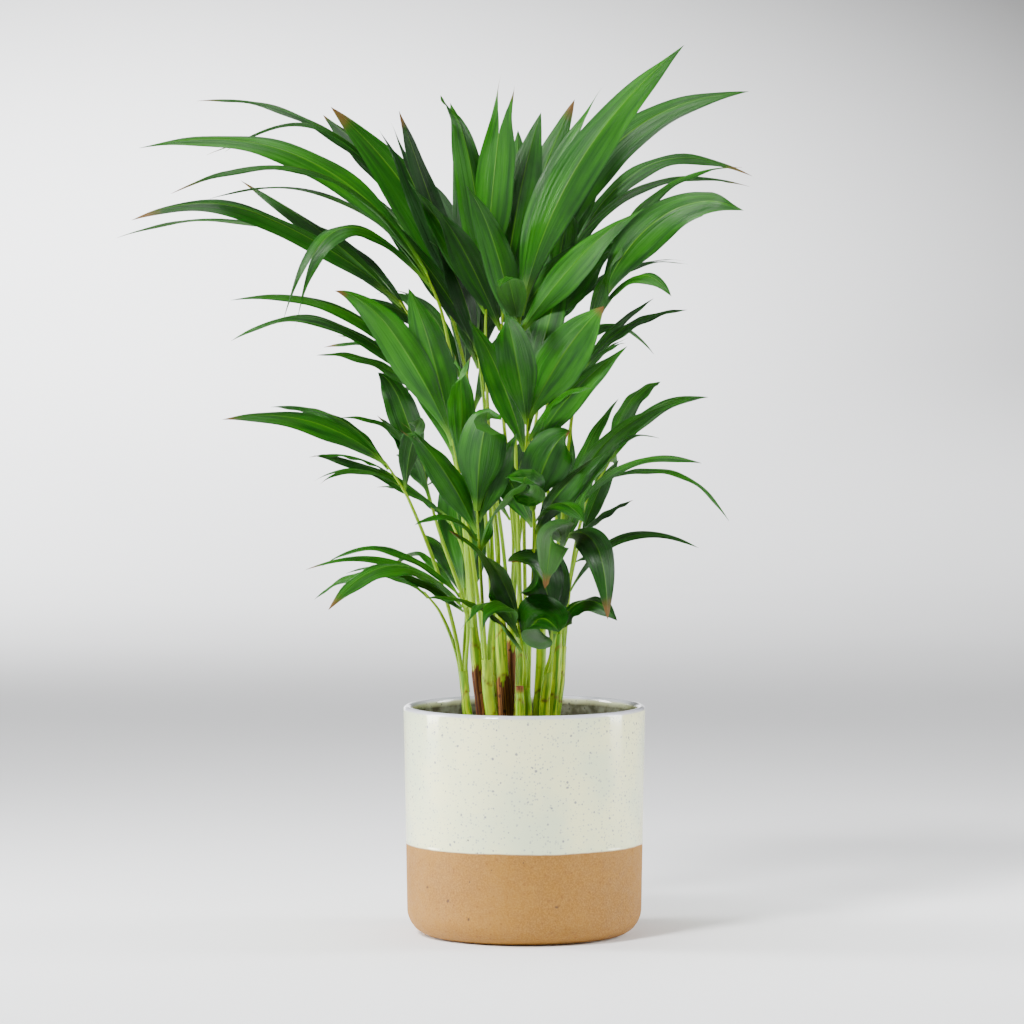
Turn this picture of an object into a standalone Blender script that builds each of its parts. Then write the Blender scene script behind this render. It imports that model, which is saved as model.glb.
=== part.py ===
"""A young areca palm in its nursery pot, standing in a two-tone stoneware cache pot.

Metres, +Z up, the palm's front towards -Y. The origin is the centre of the pot's flat foot.
The tables of canes, fronds and blades are drawn in millimetres. Their heights are measured from
DATUM below the soil, so the palm moves with the soil when the pots change.
"""

import math
from typing import NamedTuple

import bpy
import bmesh
from mathutils import Matrix, Vector
from mathutils.bvhtree import BVHTree

MM = 0.001

# The stoneware pot.
POT_RIM_RADIUS = 75 * MM
POT_HEIGHT = 142 * MM
POT_TAPER = 2 * MM            # how much narrower the wall is at its foot
POT_WALL = 5 * MM
POT_FLOOR = 8 * MM
POT_CORNER = 16 * MM          # the soft outer corner between wall and foot
POT_INNER_CORNER = 12 * MM
POT_FACETS = 48

# The plastic nursery pot inside it.
NURSERY_GAP = 9 * MM          # free space round its rim
NURSERY_DROP = 24 * MM        # its rim below the stoneware rim
NURSERY_DRAFT = 11 * MM       # how much narrower it is at its foot
NURSERY_WALL = 1.2 * MM
NURSERY_LIP = 3 * MM
NURSERY_LIP_HEIGHT = 6 * MM
NURSERY_FACETS = 36
DRAIN_HOLES = 6
DRAIN_RADIUS = 4.5 * MM
DRAIN_RING = 0.72             # drain circle, as a share of the nursery foot's radius
DRAIN_TURN = 5                # degrees, so that no facet's edge runs through a hole's middle

# The soil.
SOIL_DROP = 9 * MM            # its surface below the nursery rim
SOIL_CROWN = 2 * MM           # how far it mounds up in the middle
CANE_DEPTH = 28 * MM          # how deep the canes stand in it
CLEARANCE = 0.3 * MM          # between pieces that touch

# The palm.
DATUM = 109                   # the drawing's zero is this far below the soil
DRAWN_HEIGHT = 439            # the drawing's highest tip above the soil
PALM_HEIGHT = 439 * MM        # the real one
CANE_RADIUS = 3.3 * MM
CANE_FOOT_SWELL = 1.12
CANE_AIR = 0.8 * MM           # least air kept between canes, for the soil's pockets
PETIOLE_RADIUS = 1.35 * MM
RACHIS_END_RADIUS = 0.6 * MM
BLADE_WIDTH_SCALE = 1.0
BLADE_CROWN = 0.3 * MM        # height of a blade's middle above its edges
BLADE_KEEL = 0.7 * MM         # depth of its midrib below them
BLADE_PITCH = 4.4 * MM        # distance between the roots of a frond's blades
NECK = 0.35                   # share of a blade's root that may touch its own stalk
BLADE_AIR = 0.5 * MM          # least air kept round a blade
CANE_SIDES = 8
STALK_SIDES = 4               # a blade grows from one side of its stalk
PETIOLE_STEPS = 6
BLADE_STATIONS = (0.12, 0.32, 0.57, 0.81, 1.0)
BLADE_TURNS = (3, 6, 9, 13, 18, 24)   # degrees that a blade may turn aside to find room
BLADE_SHARES = (1.0, 0.85, 0.7, 0.5)  # of its length, if turning isn't enough
SHIFTS = (1.5, 3, 4.5, 6, 9, 12)      # millimetres that a cane or stalk may move aside
WAYS = (0, 90, 45, 135)               # degrees from front to back that these are tried in

FRONT = Vector((0, -1, 0))
UP = Vector((0, 0, 1))


class Cane(NamedTuple):
    """A stem of wrapped leaf bases: where it leaves the soil and where its leaves part."""
    foot: tuple
    top: tuple
    girth: float = 1.0


class Blade(NamedTuple):
    """One leaflet: its place on the rachis, tip, width, arch and how far its face turns to the front."""
    at: float
    tip: tuple
    width: float
    arch: float = 0.12
    face: float = 0.0


class Frond(NamedTuple):
    """One leaf: its cane, the collar where its blades begin, its rachis end and its blades."""
    cane: str
    collar: tuple
    end: tuple
    blades: tuple


CANES = {
    "cane_01": Cane((-31, -12), (-37, -16, 160), 0.8),
    "cane_02": Cane((-33, 7), (-38, 9, 158), 0.8),
    "cane_03": Cane((-24, 19), (-29, 25, 172)),
    "cane_04": Cane((-23, -3), (-31, -5, 186), 1.1),
    "cane_05": Cane((-18, -19), (-23, -27, 168), 1.1),
    "cane_06": Cane((-14, 9), (-19, 12, 196)),
    "cane_07": Cane((-11, -6), (-15, -8, 202), 1.15),
    "cane_08": Cane((1, -21), (1, -29, 150)),
    "cane_09": Cane((-2, 6), (-3, 8, 205)),
    "cane_10": Cane((-1, -9), (-1, -13, 192), 1.1),
    "cane_11": Cane((11, -17), (14, -24, 160)),
    "cane_12": Cane((9, 8), (10, 12, 200)),
    "cane_13": Cane((15, -4), (20, -5, 182), 1.1),
    "cane_14": Cane((17, 13), (23, 19, 172)),
    "cane_15": Cane((-6, 22), (-8, 33, 184)),
}

CUT_STUB = Cane((-4, -32), (-3, -36, 157), 0.85)

FRONDS = {
    # Left, from the top down.
    "frond_01": Frond("cane_06", (-43, 22, 375), (-80, 34, 458), (
        Blade(1.0, (-205, 62, 521), 14, 0.12, 0.2),
        Blade(0.85, (-186, 18, 503), 12, 0.20, 0.1),
        Blade(0.65, (-201, 92, 507), 12, 0.08, 0.1),
        Blade(1.0, (-128, 70, 510), 17, 0.06, 0.6),
        Blade(0.0, (-20, 80, 470), 20, 0.10, 0.3),
        Blade(0.3, (-72, 22, 458), 16, 0.08, 0.5))),
    "frond_02": Frond("cane_04", (-50, -26, 383), (-60, -34, 410), (
        Blade(1.0, (-235, -40, 490), 20, 0.17, 0.8),
        Blade(1.0, (-229, -66, 465), 16, 0.22, 0.3),
        Blade(0.8, (-193, -20, 457), 13, 0.20, 0.1),
        Blade(1.0, (-142, -78, 419), 17, 0.50, 0.5))),
    "frond_03": Frond("cane_04", (-58, -4, 362), (-77, -8, 393), (
        Blade(1.0, (-241, -24, 468), 19, 0.07, 0.5),
        Blade(0.6, (-254, 34, 437), 11, 0.15, 0.1),
        Blade(0.9, (-173, 38, 465), 19, 0.04, 0.6),
        Blade(0.5, (-150, 62, 448), 18, 0.08, 0.5),
        Blade(0.3, (-118, -44, 402), 14, 0.10, 0.5))),
    "frond_04": Frond("cane_05", (-38, -44, 278), (-44, -52, 309), (
        Blade(1.0, (-114, -96, 420), 24, 0.04, 0.9),
        Blade(1.0, (-70, -74, 402), 25, 0.03, 0.9),
        Blade(0.6, (-92, -36, 398), 20, 0.05, 0.8),
        Blade(0.4, (-36, -104, 372), 18, 0.06, 0.9))),
    "frond_05": Frond("cane_03", (-49, 16, 313), (-62, 20, 338), (
        Blade(1.0, (-182, 12, 394), 15, 0.17, 0.4),
        Blade(0.9, (-184, 52, 386), 14, 0.13, 0.3),
        Blade(0.5, (-118, 84, 372), 15, 0.10, 0.2),
        Blade(0.4, (-128, -14, 362), 12, 0.12, 0.4))),
    "frond_06": Frond("cane_01", (-71, -16, 270), (-85, -20, 293), (
        Blade(1.0, (-185, -34, 321), 21, 0.12, 0.6),
        Blade(0.95, (-157, 6, 329), 16, 0.14, 0.5),
        Blade(0.7, (-131, -60, 300), 8, 0.08, 0.2),
        Blade(0.4, (-126, -74, 286), 7, 0.10, 0.2),
        Blade(0.3, (-62, -52, 334), 14, 0.06, 0.7))),
    "frond_07": Frond("cane_02", (-37, 26, 232), (-47, 32, 257), (
        Blade(1.0, (-131, 22, 298), 12, 0.07, 0.3),
        Blade(0.9, (-88, 64, 300), 9, 0.10, 0.2))),
    "frond_08": Frond("cane_03", (-44, 36, 257), (-51, 42, 285), (
        Blade(1.0, (-92, 54, 358), 21, 0.03, 0.7),
        Blade(0.9, (-93, 30, 324), 13, 0.06, 0.5),
        Blade(0.6, (-86, 66, 309), 15, 0.06, 0.5),
        Blade(0.3, (-114, -2, 323), 13, 0.20, 0.3))),
    "frond_09": Frond("cane_01", (-35, -24, 195), (-40, -28, 214), (
        Blade(1.0, (-125, -14, 242), 14, 0.14, 0.3),
        Blade(0.9, (-99, 24, 247), 10, 0.12, 0.2),
        Blade(0.9, (-134, -40, 231), 14, 0.16, 0.4),
        Blade(0.6, (-135, -64, 211), 16, 0.24, 0.4),
        Blade(0.4, (-72, -52, 250), 12, 0.08, 0.5))),
    "frond_10": Frond("cane_02", (-52, 14, 198), (-62, 16, 211), (
        Blade(1.0, (-131, 26, 207), 10, 0.20, 0.2),
        Blade(0.8, (-112, 52, 222), 9, 0.15, 0.2))),
    "frond_11": Frond("cane_03", (-34, 34, 196), (-38, 38, 212), (
        Blade(1.0, (-46, 52, 290), 22, 0.03, 0.9),
        Blade(0.6, (-70, 84, 250), 14, 0.12, 0.3),
        Blade(0.4, (-26, 72, 272), 14, 0.06, 0.4))),
    # The middle, from the top down.
    "frond_12": Frond("cane_10", (-5, -34, 362), (-2, -42, 388), (
        Blade(1.0, (96, -78, 548), 27, 0.09, 0.9),
        Blade(0.9, (51, -30, 523), 25, 0.06, 0.8),
        Blade(0.6, (-20, -104, 430), 18, 0.10, 0.6),
        Blade(0.4, (40, -92, 474), 22, 0.05, 0.9),
        Blade(0.2, (-34, -70, 462), 20, 0.05, 0.8))),
    "frond_13": Frond("cane_09", (-15, -10, 362), (-13, -16, 387), (
        Blade(1.0, (10, -34, 510), 25, 0.03, 0.9),
        Blade(0.9, (31, 4, 517), 22, 0.04, 0.8),
        Blade(0.7, (-4, 40, 500), 20, 0.06, 0.6),
        Blade(0.5, (-32, -30, 478), 20, 0.04, 0.8),
        Blade(0.3, (28, -40, 462), 18, 0.05, 0.8))),
    "frond_14": Frond("cane_07", (-24, -14, 372), (-23, -20, 398), (
        Blade(1.0, (-12, -54, 527), 25, 0.04, 0.9),
        Blade(0.9, (-50, -52, 534), 17, 0.05, 0.7),
        Blade(0.8, (-46, -12, 519), 22, 0.05, 0.6),
        Blade(0.5, (-56, -62, 474), 18, 0.05, 0.8))),
    "frond_15": Frond("cane_07", (-27, 2, 350), (-31, 3, 380), (
        Blade(1.0, (-86, 8, 504), 17, 0.00, 0.8),
        Blade(1.0, (-77, -20, 511), 16, 0.00, 0.7),
        Blade(0.6, (-60, 44, 486), 18, 0.06, 0.5),
        Blade(0.5, (-102, -24, 458), 17, 0.05, 0.7),
        Blade(0.3, (-58, -40, 444), 16, 0.05, 0.7))),
    "frond_16": Frond("cane_06", (-26, 20, 338), (-30, 26, 365), (
        Blade(1.0, (-120, 36, 513), 30, 0.08, 0.8),
        Blade(0.9, (-66, 104, 474), 20, 0.10, 0.4),
        Blade(0.6, (8, 96, 452), 20, 0.10, 0.3),
        Blade(0.5, (-104, 60, 470), 18, 0.08, 0.5),
        Blade(0.3, (-40, 72, 434), 16, 0.08, 0.4))),
    "frond_17": Frond("cane_10", (0, -46, 288), (2, -54, 322), (
        Blade(1.0, (48, -72, 393), 31, 0.04, 0.9),
        Blade(0.9, (30, -36, 424), 20, 0.04, 0.7),
        Blade(1.0, (-14, -88, 397), 24, 0.04, 0.9),
        Blade(0.6, (40, -108, 344), 18, 0.12, 0.6),
        Blade(0.4, (-34, -44, 384), 20, 0.04, 0.8),
        Blade(0.3, (62, -62, 366), 18, 0.06, 0.8))),
    "frond_18": Frond("cane_05", (-27, -56, 232), (-29, -64, 266), (
        Blade(1.0, (-22, -104, 340), 27, 0.06, 0.9),
        Blade(0.8, (-6, -82, 312), 18, 0.04, 0.7),
        Blade(0.5, (-66, -108, 262), 16, 0.15, 0.5),
        Blade(0.6, (-50, -76, 332), 18, 0.05, 0.8),
        Blade(0.3, (10, -112, 288), 16, 0.10, 0.6))),
    "frond_19": Frond("cane_08", (1, -60, 245), (1, -67, 270), (
        Blade(1.0, (27, -84, 323), 25, 0.06, 0.9),
        Blade(1.0, (-8, -118, 312), 23, 0.14, 0.8),
        Blade(0.6, (36, -112, 262), 16, 0.20, 0.5),
        Blade(0.5, (-32, -66, 312), 16, 0.06, 0.7),
        Blade(0.4, (52, -74, 304), 16, 0.08, 0.6))),
    "frond_20": Frond("cane_08", (0, -40, 172), (-4, -50, 197), (
        Blade(1.0, (-50, -62, 262), 17, 0.12, 0.6),
        Blade(0.65, (-36, -100, 199), 14, 0.30, 0.4),
        Blade(0.3, (-60, -76, 216), 12, 0.14, 0.4),
        Blade(0.45, (10, -96, 203), 19, 0.20, 0.9))),
    # Right, from the top down.
    "frond_21": Frond("cane_12", (17, 2, 378), (21, 4, 417), (
        Blade(1.0, (138, -6, 522), 26, 0.19, 0.7),
        Blade(0.9, (58, 48, 496), 20, 0.08, 0.5),
        Blade(0.8, (116, 40, 500), 12, 0.20, 0.2),
        Blade(0.5, (20, -42, 472), 18, 0.05, 0.7),
        Blade(0.4, (72, 22, 444), 16, 0.08, 0.5))),
    "frond_22": Frond("cane_14", (25, 32, 356), (31, 38, 393), (
        Blade(1.0, (143, 56, 492), 15, 0.20, 0.4),
        Blade(0.8, (90, 100, 440), 13, 0.15, 0.2),
        Blade(0.6, (24, 112, 440), 16, 0.10, 0.3))),
    "frond_23": Frond("cane_13", (36, -22, 362), (46, -28, 391), (
        Blade(1.0, (138, -42, 461), 30, 0.17, 0.8),
        Blade(0.9, (141, -6, 484), 15, 0.20, 0.4),
        Blade(0.5, (88, -96, 410), 14, 0.15, 0.4),
        Blade(0.4, (60, -72, 434), 18, 0.06, 0.7))),
    "frond_24": Frond("cane_12", (4, 24, 350), (13, 30, 378), (
        Blade(1.0, (54, 44, 431), 23, 0.03, 0.7),
        Blade(0.9, (99, 72, 417), 11, 0.12, 0.3),
        Blade(0.6, (48, 100, 404), 14, 0.08, 0.4),
        Blade(0.4, (-8, 62, 412), 16, 0.05, 0.4))),
    "frond_25": Frond("cane_13", (18, 8, 313), (36, 12, 350), (
        Blade(1.0, (101, 14, 388), 12, 0.12, 0.4),
        Blade(0.9, (81, 52, 394), 10, 0.08, 0.3),
        Blade(0.6, (66, -24, 374), 9, 0.08, 0.3),
        Blade(0.4, (48, 42, 382), 11, 0.06, 0.4))),
    "frond_26": Frond("cane_13", (23, -8, 232), (24, -10, 258), (
        Blade(1.0, (105, -20, 334), 17, 0.15, 0.6),
        Blade(0.9, (79, -52, 326), 14, 0.20, 0.4),
        Blade(1.0, (84, 26, 320), 15, 0.14, 0.5),
        Blade(0.7, (59, 48, 332), 12, 0.10, 0.4),
        Blade(0.4, (42, -62, 304), 14, 0.08, 0.6),
        Blade(0.5, (12, 22, 322), 14, 0.05, 0.5))),
    "frond_27": Frond("cane_11", (21, -32, 210), (24, -38, 250), (
        Blade(1.0, (50, -92, 212), 21, 0.30, 0.8),
        Blade(0.95, (12, -104, 222), 26, 0.30, -0.8),
        Blade(0.9, (42, -48, 268), 23, 0.05, 0.8))),
    "frond_28": Frond("cane_14", (26, 26, 202), (36, 32, 248), (
        Blade(1.0, (68, 34, 268), 9, 0.06, 0.3),
        Blade(0.9, (62, 60, 297), 12, 0.06, 0.4),
        Blade(0.6, (52, 40, 244), 8, 0.10, 0.2),
        Blade(0.2, (107, 46, 239), 11, 0.25, 0.3))),
    "frond_29": Frond("cane_11", (16, -42, 177), (17, -50, 196), (
        Blade(1.0, (-8, -96, 238), 24, 0.20, 0.9),
        Blade(0.7, (48, -82, 219), 18, 0.20, 0.6),
        Blade(0.3, (24, -62, 254), 14, 0.06, 0.7))),
    # The back.
    "frond_30": Frond("cane_15", (-24, 56, 300), (-38, 78, 338), (
        Blade(1.0, (-92, 150, 400), 18, 0.15),
        Blade(1.0, (-46, 170, 416), 18, 0.15),
        Blade(0.7, (-128, 118, 362), 15, 0.15),
        Blade(0.6, (4, 168, 370), 15, 0.12),
        Blade(0.3, (-84, 150, 330), 14, 0.15))),
    "frond_31": Frond("cane_15", (8, 54, 322), (14, 86, 364), (
        Blade(1.0, (26, 176, 452), 20, 0.14),
        Blade(1.0, (66, 150, 430), 18, 0.14),
        Blade(0.7, (-24, 150, 424), 17, 0.12),
        Blade(0.5, (84, 158, 372), 14, 0.14))),
    "frond_32": Frond("cane_14", (38, 42, 262), (54, 62, 290), (
        Blade(1.0, (118, 118, 330), 15, 0.15),
        Blade(0.9, (88, 146, 338), 14, 0.15),
        Blade(0.6, (128, 84, 300), 12, 0.15),
        Blade(0.4, (72, 140, 290), 12, 0.18))),
    "frond_33": Frond("cane_15", (-7, 54, 240), (-9, 76, 262), (
        Blade(1.0, (-24, 160, 296), 16, 0.20),
        Blade(1.0, (18, 152, 300), 15, 0.20),
        Blade(0.6, (-54, 136, 268), 13, 0.20))),
}

SPEARS = {
    "spear_01": Frond("cane_05", (-16, -46, 240), (-27, -54, 318), ()),
}

NURSERY_RADIUS = POT_RIM_RADIUS - POT_WALL - NURSERY_GAP
NURSERY_TOP = POT_HEIGHT - NURSERY_DROP
SOIL_TOP = NURSERY_TOP - SOIL_DROP
PALM_SCALE = PALM_HEIGHT / (DRAWN_HEIGHT * MM)


# Materials -----------------------------------------------------------------------------------

def material(name, colour, roughness):
    """A plain finish for the working model."""
    made = bpy.data.materials.new(name)
    made.use_nodes = True
    shader = made.node_tree.nodes["Principled BSDF"]
    shader.inputs["Base Color"].default_value = (*colour, 1)
    shader.inputs["Roughness"].default_value = roughness
    shader.inputs["Metallic"].default_value = 0
    return made


# Solids --------------------------------------------------------------------------------------

def add_object(name, mesh, finish, helper=False):
    """An object from a bmesh. A helper is one that only shapes another."""
    bmesh.ops.recalc_face_normals(mesh, faces=mesh.faces)
    if mesh.calc_volume(signed=True) < 0:
        bmesh.ops.reverse_faces(mesh, faces=mesh.faces)
    made = bpy.data.objects.new(name, bpy.data.meshes.new(name))
    mesh.to_mesh(made.data)
    mesh.free()
    made.data.materials.append(finish)
    made.data.shade_smooth()
    made.data.set_sharp_from_angle(angle=math.radians(35))
    bpy.context.scene.collection.objects.link(made)
    made.hide_render = helper
    made.display_type = "WIRE" if helper else "TEXTURED"
    return made


def add_solid(name, solid, finish, helper=False):
    """An object from a solid's points and faces."""
    points, faces = solid
    mesh = bmesh.new()
    corners = [mesh.verts.new(point) for point in points]
    for face in faces:
        mesh.faces.new([corners[k] for k in face])
    return add_object(name, mesh, finish, helper)


def arc(centre, radius, start, stop, steps):
    """(radius, height) points along an arc, angles in degrees."""
    angles = [math.radians(start + (stop - start) * k / steps) for k in range(steps + 1)]
    return [(centre[0] + radius * math.cos(a), centre[1] + radius * math.sin(a)) for a in angles]


def turned(name, profile, facets, finish, helper=False):
    """A solid of revolution about Z. Its profile runs from the axis at the bottom, up the outside."""
    mesh = bmesh.new()
    rings = []
    for radius, height in profile:
        if radius < 1e-7:
            rings.append([mesh.verts.new((0, 0, height))])
            continue
        turns = [math.tau * k / facets for k in range(facets)]
        rings.append([mesh.verts.new((radius * math.cos(a), radius * math.sin(a), height)) for a in turns])
    for low, high in zip(rings, rings[1:]):
        for k in range(facets):
            after = (k + 1) % facets
            corners = [low[k % len(low)], low[after % len(low)], high[after % len(high)], high[k % len(high)]]
            mesh.faces.new(list(dict.fromkeys(corners)))
    return add_object(name, mesh, finish, helper)


def cut(target, *cutters):
    """Cuts each cutter from the target."""
    for cutter in cutters:
        step = target.modifiers.new("cut " + cutter.name, "BOOLEAN")
        step.operation = "DIFFERENCE"
        step.object = cutter


# The pots and the soil -----------------------------------------------------------------------

def build_pot(finish):
    """The stoneware pot: a flat foot, a soft corner, a slightly flared wall and a round rim."""
    foot = POT_RIM_RADIUS - POT_TAPER
    rim = POT_WALL / 2
    rim_middle = (POT_RIM_RADIUS - rim, POT_HEIGHT - rim)
    outside = [(0, 0), (foot - POT_CORNER, 0)]
    outside += arc((foot - POT_CORNER, POT_CORNER), POT_CORNER, -90, 0, 6)[1:]
    lip = arc(rim_middle, rim, 0, 180, 6)
    inner_foot = foot - POT_WALL
    inside = arc((inner_foot - POT_INNER_CORNER, POT_FLOOR + POT_INNER_CORNER), POT_INNER_CORNER, 0, -90, 4)
    return turned("ceramic_pot", outside + lip + inside + [(0, POT_FLOOR)], POT_FACETS, finish)


def build_nursery_pot(finish):
    """The thin plastic pot that the palm was grown in, with a rolled lip and drain holes."""
    floor = POT_FLOOR + CLEARANCE
    foot = NURSERY_RADIUS - NURSERY_DRAFT
    under_lip = NURSERY_TOP - NURSERY_LIP_HEIGHT
    shoulder = NURSERY_RADIUS - NURSERY_LIP
    profile = [
        (0, floor),
        (foot, floor),
        (shoulder, under_lip),
        (NURSERY_RADIUS, under_lip),
        (NURSERY_RADIUS, NURSERY_TOP),
        (shoulder - NURSERY_WALL, NURSERY_TOP),
        (shoulder - NURSERY_WALL, under_lip),
        (foot - NURSERY_WALL, floor + NURSERY_WALL),
        (0, floor + NURSERY_WALL),
    ]
    pot = turned("nursery_pot", profile, NURSERY_FACETS, finish)
    for k in range(DRAIN_HOLES):
        angle = math.tau * k / DRAIN_HOLES + math.radians(DRAIN_TURN)
        reach = foot * DRAIN_RING
        drill = [(0, -POT_FLOOR), (DRAIN_RADIUS, -POT_FLOOR), (DRAIN_RADIUS, POT_FLOOR), (0, POT_FLOOR)]
        hole = turned(f"drain_cutter_{k + 1}", drill, 12, finish, helper=True)
        hole.location = (reach * math.cos(angle), reach * math.sin(angle), floor)
        cut(pot, hole)
    return pot


def build_soil(finish, canes):
    """The soil, with a pocket for each cane."""
    gap = NURSERY_WALL + CLEARANCE
    floor = POT_FLOOR + CLEARANCE
    bottom = floor + NURSERY_WALL + CLEARANCE
    under_lip = NURSERY_TOP - NURSERY_LIP_HEIGHT
    foot = NURSERY_RADIUS - NURSERY_DRAFT
    shoulder = NURSERY_RADIUS - NURSERY_LIP

    def wall(height):
        """The nursery pot's outer radius below its lip."""
        return foot + (shoulder - foot) * (height - floor) / (under_lip - floor)

    edge = SOIL_TOP - SOIL_CROWN
    profile = [(0, bottom), (wall(bottom) - gap, bottom), (wall(edge) - gap, edge), (0, SOIL_TOP)]
    soil = turned("potting_soil", profile, NURSERY_FACETS, finish)
    for name, cane in canes.items():
        below, ground, middle, _ = cane_line(cane)
        axis = (middle - ground).normalized()
        pocket = tube([below - axis * CLEARANCE, ground + axis * CANE_DEPTH],
                      [CANE_RADIUS * cane.girth * CANE_FOOT_SWELL + CLEARANCE] * 2, CANE_SIDES)
        cut(soil, add_solid("pocket_cutter_" + name, pocket, finish, helper=True))
    return soil


# Curves and sections -------------------------------------------------------------------------

def placed(x, y, z):
    """A point of the drawing, in the model."""
    return Vector((x * MM * PALM_SCALE, y * MM * PALM_SCALE, SOIL_TOP + (z - DATUM) * MM * PALM_SCALE))


def hermite(start, stop, leaving, arriving, share):
    """A point of the cubic from start to stop with these end tangents."""
    s = share
    return ((2 * s**3 - 3 * s**2 + 1) * start + (s**3 - 2 * s**2 + s) * leaving
            + (3 * s**2 - 2 * s**3) * stop + (s**3 - s**2) * arriving)


def centre_of(points):
    """The mean of some points."""
    return sum(points, Vector()) / len(points)


def turned_about(vector, axis, degrees):
    """The vector turned about an axis."""
    return Matrix.Rotation(math.radians(degrees), 3, axis) @ vector


def sides_of(points, first_side):
    """A sideways vector for each point of a line, carried along it without twist."""
    sides = []
    side = first_side
    for k in range(len(points)):
        along = (points[min(k + 1, len(points) - 1)] - points[max(k - 1, 0)]).normalized()
        side = (side - along * side.dot(along)).normalized()
        sides.append((along, side))
    return sides


def tube(points, radii, facets):
    """A closed tube round a line: its points and faces."""
    rings = []
    for point, radius, (along, side) in zip(points, radii, sides_of(points, Vector((1, 0.2, 0)))):
        across = along.cross(side)
        turns = [math.tau * k / facets for k in range(facets)]
        rings.append([point + radius * (math.cos(a) * side + math.sin(a) * across) for a in turns])
    return lofted(rings)


def lofted(rings):
    """A closed solid through rings of equally many points. The last may be a single point."""
    size = len(rings[0])
    points = [point for ring in rings for point in ring]
    faces = [tuple(range(size))]
    for low in range(0, (len(rings) - 1) * size, size):
        high = min(low + size, len(points) - 1)
        single = high == len(points) - 1
        for k in range(size):
            after = (k + 1) % size
            faces.append((low + k, low + after, high) if single
                         else (low + k, low + after, high + after, high + k))
    if len(rings[-1]) > 1:
        faces.append(tuple(range(len(points) - size, len(points))))
    return points, faces


def grown_from(solid, face, rings):
    """The solid with a branch through these rings grown from one of its faces."""
    points, faces = solid
    corners = [points[k] for k in face]
    middle = centre_of(corners)
    first = centre_of(rings[0])
    size = len(corners)

    def twist(turn):
        """How far the corners lie from the first ring's points, if that ring is turned by this many."""
        return sum(((corners[k] - middle).normalized() - (rings[0][(k + turn) % size] - first).normalized()).length
                   for k in range(size))

    turn = min(range(size), key=twist)
    faces.remove(face)
    low = list(face)
    for ring in rings:
        if len(ring) == 1:
            points.append(ring[0])
            faces += [(low[k], low[(k + 1) % size], len(points) - 1) for k in range(size)]
            continue
        high = list(range(len(points), len(points) + size))
        points += [ring[(k + turn) % size] for k in range(size)]
        for k in range(size):
            faces += side_faces(low[k], low[(k + 1) % size], high[(k + 1) % size], high[k], (k + turn) % 2 == 0)
        low = high
    return points, faces


def side_faces(low, low_after, high_after, high, from_low):
    """Two triangles. They part on the line that starts at the blade's edge, above and beneath it alike."""
    if from_low:
        return [(low, low_after, high_after), (low, high_after, high)]
    return [(low, low_after, high), (low_after, high_after, high)]


# Canes and stalks ----------------------------------------------------------------------------

def cane_line(cane):
    """The middle line of a cane, from its foot in the soil to its top."""
    foot = placed(*cane.foot, DATUM)
    top = placed(*cane.top)
    below = foot - (top - foot).normalized() * CANE_DEPTH
    return [below, foot, foot.lerp(top, 0.5), top]


def cane_solid(cane, grow=0.0):
    """A cane, a little swollen at the soil."""
    radius = CANE_RADIUS * cane.girth + grow
    swollen = radius * CANE_FOOT_SWELL
    return tube(cane_line(cane), [swollen, swollen, radius, radius], CANE_SIDES)


def grow_canes(room):
    """The canes and the cut stub, each moved aside where another stands in the way."""
    grown = {}
    for name, cane in {**CANES, "cut_stub": CUT_STUB}.items():
        for shift in aside_shifts():
            foot = (cane.foot[0] + shift.x, cane.foot[1] + shift.y)
            top = (cane.top[0] + shift.x, cane.top[1] + shift.y, cane.top[2])
            moved = Cane(foot, top, cane.girth)
            if room.clear(name, cane_solid(moved, CANE_AIR)):
                break
        room.add(name, cane_solid(moved))
        grown[name] = moved
    return grown


def starts_of(fronds, canes):
    """Where each stalk stands on its cane's top, side by side in the order of the ways they lean."""
    starts = {}
    for name, cane in canes.items():
        top = placed(*cane.top)
        axis = (top - placed(*cane.foot, DATUM)).normalized()
        mine = [key for key, frond in fronds.items() if frond.cane == name]
        lean = {key: math.atan2(fronds[key].collar[1] - cane.top[1], fronds[key].collar[0] - cane.top[0])
                for key in mine}
        mine.sort(key=lean.get)

        def agreement(first):
            """How well the places round the top suit the ways the stalks lean, if the first is at this turn."""
            return sum(math.cos(first + math.tau * k / len(mine) - lean[key]) for k, key in enumerate(mine))

        first = max((math.radians(10 * step) for step in range(36)), key=agreement)
        for k, key in enumerate(mine):
            turn = first + math.tau * k / len(mine)
            apart = 0 if len(mine) == 1 else (PETIOLE_RADIUS + CLEARANCE / 2) / math.sin(math.pi / len(mine))
            aside = Vector((math.cos(turn), math.sin(turn), 0)) * apart
            aside -= axis * aside.dot(axis)
            starts[key] = (top + axis * CLEARANCE + aside, axis)
    return starts


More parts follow.
